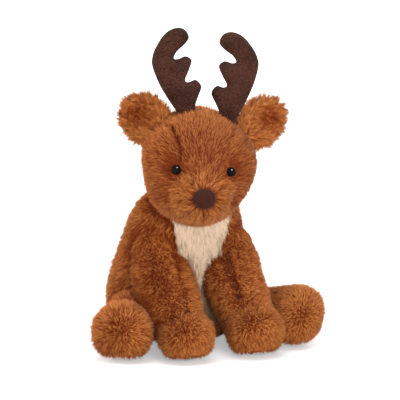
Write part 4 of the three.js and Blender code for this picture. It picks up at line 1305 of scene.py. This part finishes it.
class DEER_OT_front_legs(bpy.types.Operator):
    """Both front legs with their paws"""

    bl_idname = "deer.front_legs"
    bl_label = "Front legs"

    def execute(self, context):
        for number, (name, side) in enumerate(SIDES.items()):
            points, faces = front_leg_grid(side, SKIN_INSET["leg"], rings=96, around=116)
            line, share = front_leg_path(side)
            nearest = beside(points, line[::8])[1] * 8
            along = share[nearest]
            # Soft stuffing lets both legs bow a little back and to one side
            bow = np.sin(np.pi * np.clip(along * 1.1, 0, 1))[:, None] * LEG_BOW[name]
            points = points + bow
            if name == "left":
                points[:, 0] += 2.0 * np.sin(np.pi * np.clip(along * 1.6 - 0.6, 0, 1))
            paw = np.array([side * FRONT_LEG["paw_gap"], -FRONT_LEG["paw_forward"], PAW[1]])
            points = stood(points, paw, PAW[1] - SKIN_INSET["leg"], X_AXIS, 0.6 * ramp(along, 0.6, 0.25))
            _, y, z = points.T
            # The seam runs through the skin's own points, and ends shallow above the paw
            drawn, _ = path_through(LEG_SEAMS[name], 20)
            seam = points[beside(drawn, points)[1]]
            away, place = beside(points, seam)
            deep = LEG_SEAM[name] * np.clip(9 * (1 - place / len(seam)), 0, 1)
            sunk = deep * (LEG_SEAM["deep"] * bell(away, LEG_SEAM["narrow"]) + 1.0 * bell(away, LEG_SEAM["wide"]))
            toes = ramp(along, 0.75, 0.25)
            sunk += 1.2 * toes * bell(z - 8, 16) * (y < -110)
            fold = 100.0
            if name == "right":
                fold, _ = beside(points, path_through(PAW_FOLD, 20)[0])
                sunk += 1.0 * toes
                sunk += 4.2 * bell(fold, 4.0)
            if name == "left":
                sunk += ARMPIT["deep"] * bell(far(points, ARMPIT["at"]), ARMPIT["reach"])
            points = pressed(points, faces, sunk)
            nodes = [f"front_leg_{name}_cover", f"front_leg_{name}_filling"]
            skin = skin_object(f"front_leg_{name}_body", points, faces, f"front_leg_{name}", nodes)
            _, y, z = points.T
            on_paw = ramp(along, 0.65, 0.25)
            ahead = line[np.minimum(nearest + 8, len(line) - 1)] - line[np.maximum(nearest - 8, 0)]
            comb = unit(ahead) + np.array([0, 0, -0.35]) - on_paw[:, None] * (0, 0, 0.7)
            parted = (deep * bell(away, 6.5))[:, None]
            comb = comb * (1 - parted) + unit(points - seam[place]) * (1.5 * parted)
            length = pile_mm("body") + (pile_mm("foot") - pile_mm("body")) * np.clip(along * 2 - 1, 0, 1)
            # The pile lies flat where the leg is sewn on, and is worn short where the paw stands
            sewn, low = ramp(z, 80, 16), ramp(z, 14, -10)
            length *= (1 - 0.35 * sewn) * (1 - 0.55 * low * np.clip((-y - 105) / 14, 0.5, 1))
            comb[:, 2] += 1.2 * low
            length *= 1 - 0.5 * deep * bell(away, 3.8)
            # Painted shade near the floor, along the seam's groove and in the right paw's fold
            tint = 0.52 + 0.1 * on_paw - 0.2 * low - 0.7 * deep * bell(away, 2.6) - 0.9 * bell(fold, 4.5)
            # Each leg is darker on its front towards the toy's right, above the paw, the right leg more so
            darker_front_side = np.clip((points - bow - line[nearest]) @ (-0.026, -0.03, 0), 0, 1)
            tint -= (0.34 if name == "right" else 0.14) * darker_front_side * np.clip(2.6 - along * 3, 0, 1)
            # Painted shade where the leg meets the torso and the hind leg, fading out towards the shoulder
            painted_fold_shade = fold_shade(points, 10.0, torso_form(), leg_form(hind_leg_grid, side))
            tint -= 0.75 * painted_fold_shade * ramp(z, 88, -14)
            cover = clear_of(points, torso_form(), depth=3.5) * (z > 5.4) * (away > 3.0 * deep - 0.7)
            lean = 0.28 + 0.4 * sewn + 0.04 * on_paw + 0.5 * deep * bell(away, 5.5)
            comb_skin(skin, comb, lean, length, tint, cover)
            grow_coat(f"front_leg_{name}_coat", skin, f"front_leg_{name}", 500 + number, floor=True)
        return {"FINISHED"}


class DEER_OT_hind_legs(bpy.types.Operator):
    """Both hind legs with their round feet"""

    bl_idname = "deer.hind_legs"
    bl_label = "Hind legs"

    def execute(self, context):
        inset = SKIN_INSET["leg"]
        for number, (name, side) in enumerate(SIDES.items()):
            points, faces = hind_leg_grid(side, inset)
            line, _ = hind_leg_path(side)
            end = line[-1]
            way = unit((end - line[-40])[None])[0]
            across = unit(np.cross([way], [[0, 0, 1.0]]))[0]
            on_foot = np.clip(far(points, line[0]) / 30 - 1, 0, 1)
            points = stood(points, end, FOOT[1] - inset, across, 0.7 * on_foot)
            x, y, z = points.T
            ankle, thigh = 0 * on_foot, 0 * on_foot
            if name == "left":
                sunk = uneven(x, z, FOOT_SIDE) + uneven(y, z, FOOT_TOP)
            else:
                ankle = bell((points - end) @ way + 22, 5) * ramp(z, 16, 14)
                thigh = bell(far(points, THIGH["at"]), THIGH["reach"])
                sunk = 3.2 * ankle - THIGH["full"] * thigh
            points = pressed(points, faces, sunk)
            nodes = [f"hind_leg_{name}_cover", f"hind_leg_{name}_filling"]
            skin = skin_object(f"hind_leg_{name}_body", points, faces, f"hind_leg_{name}", nodes)
            z = points[:, 2]
            off = points - (end + way * (HIND_LEG["sole"] - inset))
            beneath = [torso_form(), leg_form(front_leg_grid, side)]
            outer = np.clip(np.linalg.norm(off, axis=1) / FOOT[0], 0, 1)
            low = ramp(z, 18, -14)
            # Painted shade near the floor, in the ankle's crease and in the folds against torso and front leg; the
            # pile is also lighter towards the foot's rim, darker over the thigh, and the left foot lighter
            tint = (0.68 if name == "left" else 0.42) + 0.3 * outer**2 - 0.15 * low - 0.8 * ankle - 0.45 * thigh
            tint -= 0.6 * fold_shade(points, 9.0, *beneath)
            comb = unit(off) + np.array([0, 0, -0.15])
            cover = clear_of(points, *beneath, depth=3.5) * (z > 6.0)
            comb_skin(skin, comb, 0.16 + 0.34 * outer, pile_mm("foot") * (1 - 0.2 * low), tint, cover)
            grow_coat(f"hind_leg_{name}_coat", skin, f"hind_leg_{name}", 600 + number, floor=True)
        return {"FINISHED"}


class DEER_OT_tail(bpy.types.Operator):
    """Short tail"""

    bl_idname = "deer.tail"
    bl_label = "Tail"

    def execute(self, context):
        points, faces = tail_grid(SKIN_INSET["tail"])
        skin = skin_object("tail_body", points, faces, "tail", ["tail"])
        comb = unit(points - np.array(hinge("tail_wag")))
        comb_skin(skin, comb, 0.55, pile_mm("foot"), 0.5, clear_of(points, torso_form()))
        grow_coat("tail_coat", skin, "tail", 700, look="tail", sparse=0.95)
        return {"FINISHED"}


class DEER_OT_eyes(bpy.types.Operator):
    """Bead eyes, and the washers that hold them inside the head"""

    bl_idname = "deer.eyes"
    bl_label = "Eyes"

    def execute(self, context):
        bead = bead_material("eye_bead", colours().bead)
        washer = moulded_material("washer_plastic", colours().washer)
        radius = EYE["radius"]
        z, r = ball_rings(radius, 28)
        # A shank stands behind the bead, as its solid has
        z = np.concatenate([[-13.0, -13.0, -13.0, -radius * 0.93], z[1:]])
        r = np.concatenate([[0.0, 0.8, 1.6, 1.6], r[1:]])
        for name, (middle, normal) in eye_spots().items():
            side = unit(np.cross([normal], [[0, 0, 1.0]]))[0]
            centre = middle + z[:, None] * normal
            points, faces = wrap(centre, side, np.cross(side, normal), np.stack([r, r], 1), 32)
            eye = mesh_object(f"eye_{name}_bead", carried(points, head_matrix()), faces)
            eye.data.materials.append(bead)
            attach(eye, "head")
            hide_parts(f"eye_{name}")
            disc = frame["nodes"][f"eye_washer_{name}"]
            disc.data.materials.clear()
            disc.data.materials.append(washer)
        return {"FINISHED"}


class DEER_OT_nose(bpy.types.Operator):
    """Padded felt nose"""

    bl_idname = "deer.nose"
    bl_label = "Nose"

    def execute(self, context):
        felt = felt_material("nose_felt", colours().nose, 900.0, 0.35)
        tip_y = HEAD["middle"] * HEAD["deep"] - HEAD["deep"] + NOSE["bury"]
        tip_z = -0.175 * HEAD["high"]
        t = np.linspace(0, 1, 37)
        lift = np.sin(np.pi * (t - 0.5))
        round_ = np.cos(np.pi * (t - 0.5)) ** 0.72
        round_[0] = round_[-1] = 0
        centre = np.stack([0 * t, tip_y - lift * NOSE["deep"] * 1.12, 0 * t + tip_z], 1)
        half = np.stack([round_ * NOSE["wide"] * 0.97, round_ * NOSE["high"] * 0.97], 1)
        points, faces = wrap(centre, X_AXIS, Z_AXIS, half, 64)
        x, z = points[:, 0] / NOSE["wide"], (points[:, 2] - tip_z) / NOSE["high"]
        squared = (np.abs(x) ** 2.6 + np.abs(z) ** 2.6 + 1e-9) ** (-1 / 2.6) * np.hypot(x, z)
        points[:, 0] *= squared * (1.02 - 0.16 * np.clip(-z, 0, 1))  # a little narrower below
        points[:, 2] = tip_z + (points[:, 2] - tip_z) * squared
        points[:, 1] += 0.5 * bell(np.hypot(x * 1.1, z), 0.5) * (points[:, 1] < tip_y)
        nose = mesh_object("nose_pad", carried(points, head_matrix()), faces)
        nose.data.materials.append(felt)
        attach(nose, "head")
        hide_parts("nose")
        return {"FINISHED"}


def antler_outline(side, count):
    """The antler's outline seen from in front, evenly spaced."""
    points = [(side * a * ANTLER["reach"], b * ANTLER["height"]) for a, b in ANTLER_SHARES]
    for k in range(1, 5):
        angle = math.pi + math.pi * k / 5
        points.append((side * math.cos(angle) * ANTLER["root"], math.sin(angle) * ANTLER["root"]))
    points = np.array(points)
    total = len(points)
    line = []
    for i in range(total):
        p = [points[(i + k) % total] for k in (-1, 0, 1, 2)]
        for k in range(12):
            t = k / 12
            bend = 2 * p[0] - 5 * p[1] + 4 * p[2] - p[3]
            twist = 3 * p[1] - p[0] - 3 * p[2] + p[3]
            line.append(0.5 * (2 * p[1] + (p[2] - p[0]) * t + bend * t**2 + twist * t**3))
    line = np.array(line + [line[0]])
    reach = np.concatenate([[0], np.cumsum(np.linalg.norm(np.diff(line, axis=0), axis=1))])
    even = np.linspace(0, reach[-1], count, endpoint=False)
    return np.stack([np.interp(even, reach, line[:, k]) for k in (0, 1)], 1)


def antler_shape(side, spacing=1.25):
    """A flat felt outline, sewn up and blown out like a stuffed cushion, with puckers along its seam."""
    rim = antler_outline(side, 300)
    low, high = rim.min(0), rim.max(0)
    inner = []
    for row, b in enumerate(np.arange(low[1], high[1], spacing * 0.866)):
        for a in np.arange(low[0] + (row % 2) * spacing / 2, high[0], spacing):
            off = np.linalg.norm(rim - (a, b), axis=1).min()
            if off > spacing * 0.55:
                inner.append((a, b))
    # Rows of points, of which those stay whose line to the right crosses the outline an odd number of times
    inner = np.array(inner)
    count = len(rim)
    a, b = inner.T[:, :, None]
    ends = np.roll(rim, -1, axis=0)
    crosses = (rim[:, 1] > b) != (ends[:, 1] > b)
    at = (ends[:, 0] - rim[:, 0]) * (b - rim[:, 1]) / (ends[:, 1] - rim[:, 1] + 1e-12) + rim[:, 0]
    inner = inner[(crosses & (a < at)).sum(1) % 2 == 1]
    flat = np.concatenate([rim, inner])
    edges = [(k, (k + 1) % count) for k in range(count)]
    verts, _, faces, *_ = geometry.delaunay_2d_cdt([Vector(p) for p in flat], edges, [], 1, 1e-6)
    verts = np.array([v[:] for v in verts])
    seam = np.zeros(len(verts), bool)
    seam[:count] = True
    # How far a membrane held at the outline swells
    total = len(verts)
    laplace = np.zeros((total, total))
    for f in faces:
        for i in range(len(f)):
            p, q = f[i], f[(i + 1) % len(f)]
            weight = 1 / max(np.linalg.norm(verts[p] - verts[q]), 0.2) ** 2
            laplace[p, q] -= weight / 2
            laplace[q, p] -= weight / 2
            laplace[p, p] += weight / 2
            laplace[q, q] += weight / 2
    free = np.flatnonzero(~seam)
    swell = np.zeros(total)
    swell[free] = np.linalg.solve(laplace[np.ix_(free, free)], np.full(len(free), 1.0))
    swell = np.sqrt(np.maximum(swell, 0))
    swell /= np.percentile(swell, 92)
    full = ANTLER["core"] / 2 + ANTLER["puff"]
    # Stitches pucker the felt next to its seam, unevenly spaced
    near, place = beside(verts, rim)
    draw = np.random.default_rng(31 + side)
    phase = np.cumsum(draw.uniform(0.09, 0.19, count))
    pucker = 0.32 * np.sin(2 * np.pi * phase[place] * 0.8) * np.exp(-((near - 2.2) / 2.4) ** 2)
    height = 1.12 * full * np.minimum(swell, 1.1) ** 0.72
    height = np.where(seam, 0, np.minimum(height, 1.2 * full) + pucker * np.minimum(swell, 1))
    rise = np.where(seam, 0.35, 0) + np.maximum(height, 0)
    front = np.stack([verts[:, 0], -rise, verts[:, 1]], 1)
    back = np.stack([verts[:, 0], rise, verts[:, 1]], 1)
    faces = [tuple(f) for f in faces]
    tris = faces + [tuple(total + i for i in reversed(f)) for f in faces]
    tris += [(k, (k + 1) % count, total + (k + 1) % count, total + k) for k in range(count)]
    points = np.concatenate([front, back])
    return points, tris


class DEER_OT_antlers(bpy.types.Operator):
    """Both stuffed felt antlers"""

    bl_idname = "deer.antlers"
    bl_label = "Antlers"

    def execute(self, context):
        felt = felt_material("antler_felt", colours().antler, 760.0, 1.0)
        turn = head_matrix().to_3x3().to_4x4() @ Matrix.Rotation(-math.radians(ANTLER["sway"]), 4, "Y")
        for name, side in SIDES.items():
            points, faces = antler_shape(side)
            matrix = Matrix.Translation(hinge(f"antler_{name}_flex") + Vector(ANTLER_SLUMP[name])) @ turn
            antler = mesh_object(f"antler_{name}_felt", carried(points, matrix), faces)
            outward(antler)
            antler.data.materials.append(felt)
            round_off = antler.modifiers.new("round", "SUBSURF")
            round_off.levels = round_off.render_levels = 1
            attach(antler, f"antler_{name}")
            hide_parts(f"antler_{name}")
        return {"FINISHED"}


WHITE = (1, 1, 1, 1)
LIT = Vector((0, 0, 0.12))  # what the lamps point at, in metres
PICTURE = 400  # pixels, across and up
ORIGIN_PIXEL = (175, 335)  # where the toy's origin lies in the picture


class DEER_OT_stage(bpy.types.Operator):
    """Pale floor, soft light and camera"""

    bl_idname = "deer.stage"
    bl_label = "Stage"

    def execute(self, context):
        scene, setup = context.scene, context.scene.deer_stage
        scene.view_settings.view_transform = "Standard"

        def floor_look(tree, shader):
            place = tree.get("ShaderNodeTexCoord", out="Object")
            mottle = tree.noise(place, 3.0, 2.0)
            tree.feed(shader.inputs["Base Color"], tree.mix(mottle, (0.86, 0.86, 0.86, 1), (0.88, 0.88, 0.88, 1)))
            # It glows for the camera alone, and more away from the toy, so that it ends white and keeps the shadow
            off = tree.get("ShaderNodeVectorMath", {"operation": "LENGTH"}, {0: place}, out="Value")
            away = ((off - 0.3) * 2.0).within()
            seen = tree.get("ShaderNodeLightPath", out="Is Camera Ray")
            glow = tree.get("ShaderNodeEmission", None, {"Color": WHITE, "Strength": seen * (away * 0.62 + 0.38)})
            both = tree.get("ShaderNodeAddShader", None, {0: Wire(tree, shader.outputs[0]), 1: glow})
            end = next(n for n in tree.nodes if n.type == "OUTPUT_MATERIAL")
            tree.feed(end.inputs["Surface"], both)

        reach = 6000
        corners = [(a * reach, b * reach, 0) for a, b in ((-1, -1), (1, -1), (1, 1), (-1, 1))]
        floor = mesh_object("floor", corners, [(0, 1, 2, 3)])
        floor.data.materials.append(new_material("pale_floor", floor_look, 0.9, Specular_IOR_Level=0.1))
        # The beads mirror the catch light, and neither floor nor soft boxes
        floor.visible_glossy = False
        world = bpy.data.worlds.new("soft_daylight")
        world.use_nodes = True
        scene.world = world
        tree = Tree(world.node_tree)
        tree.nodes.clear()
        seen = tree.get("ShaderNodeLightPath", out="Is Camera Ray")
        day = tree.get("ShaderNodeBackground", None, {"Color": WHITE, "Strength": setup.daylight})
        white = tree.get("ShaderNodeBackground", None, {"Color": WHITE, "Strength": 1.0})
        both = tree.get("ShaderNodeMixShader", None, {0: seen, 1: day, 2: white})
        tree.feed(tree.add("ShaderNodeOutputWorld").inputs[0], both)

        def soft_box(name, place, size, watts, mirrored=False):
            light = bpy.data.lights.new(name, "AREA")
            light.shape, light.size, light.energy = "DISK", size, watts
            made = bpy.data.objects.new(name, light)
            made.location = place
            made.visible_glossy, made.visible_diffuse = mirrored, not mirrored
            made.rotation_euler = (LIT - Vector(place)).to_track_quat("-Z", "Y").to_euler()
            scene.collection.objects.link(made)

        soft_box("overhead_box", (-0.15, -0.35, 1.6), 1.3, setup.overhead)
        soft_box("catch_light", (0.04, -0.55, 0.95), 0.2, setup.catch, True)
        soft_box("front_box", (-0.28, -1.8, 0.4), 1.0, setup.front)
        soft_box("rim_box_left", (1.2, 0.9, 0.7), 0.8, 1.2 * setup.rim)
        soft_box("rim_box_right", (-1.25, 0.75, 0.7), 0.8, setup.rim)
        a, e = setup.azimuth, setup.elevation
        back = Vector((math.sin(a) * math.cos(e), -math.cos(a) * math.cos(e), math.sin(e)))
        right = Vector((math.cos(a), math.sin(a), 0))
        up = back.cross(right)
        pixel = setup.field / PICTURE
        aside, below = PICTURE / 2 - ORIGIN_PIXEL[0], ORIGIN_PIXEL[1] - PICTURE / 2
        target = right * (aside * pixel) + up * (below * pixel)
        lens = bpy.data.cameras.new("camera")
        lens.lens = lens.sensor_width * setup.distance / setup.field
        camera = bpy.data.objects.new("camera", lens)
        camera.location = target + back * setup.distance
        camera.rotation_euler = (-back).to_track_quat("-Z", "Y").to_euler()
        lens.clip_end = 100
        scene.collection.objects.link(camera)
        scene.camera = camera
        return {"FINISHED"}


STEPS = (
    DEER_OT_torso,
    DEER_OT_neck,
    DEER_OT_head,
    DEER_OT_ears,
    DEER_OT_front_legs,
    DEER_OT_hind_legs,
    DEER_OT_tail,
    DEER_OT_eyes,
    DEER_OT_nose,
    DEER_OT_antlers,
    DEER_OT_stage,
)


class DEER_PT_panel(bpy.types.Panel):
    """The deer's pieces and settings"""

    bl_label = "Plush deer"
    bl_idname = "DEER_PT_panel"
    bl_space_type = "VIEW_3D"
    bl_region_type = "UI"
    bl_category = "Deer"

    def draw(self, context):
        for group in (context.scene.deer_pile, context.scene.deer_colours, context.scene.deer_stage):
            box = self.layout.box()
            for name in group.__annotations__:
                box.prop(group, name)
        for step in STEPS:
            self.layout.operator(step.bl_idname)


GROUPS = {"deer_pile": DeerPile, "deer_colours": DeerColours, "deer_stage": DeerStage}
CLASSES = (*GROUPS.values(), *STEPS, DEER_PT_panel)


def register():
    for kind in CLASSES:
        bpy.utils.register_class(kind)
    for name, kind in GROUPS.items():
        setattr(bpy.types.Scene, name, bpy.props.PointerProperty(type=kind))


def unregister():
    for name in GROUPS:
        delattr(bpy.types.Scene, name)
    for kind in reversed(CLASSES):
        bpy.utils.unregister_class(kind)


def main():
    register()
    for step in STEPS:
        group, name = step.bl_idname.split(".")
        getattr(getattr(bpy.ops, group), name)()
    for tuft in [*shared["tufts"], *shared["shags"]]:
        bpy.data.objects.remove(tuft)


if __name__ == "__main__":
    main()
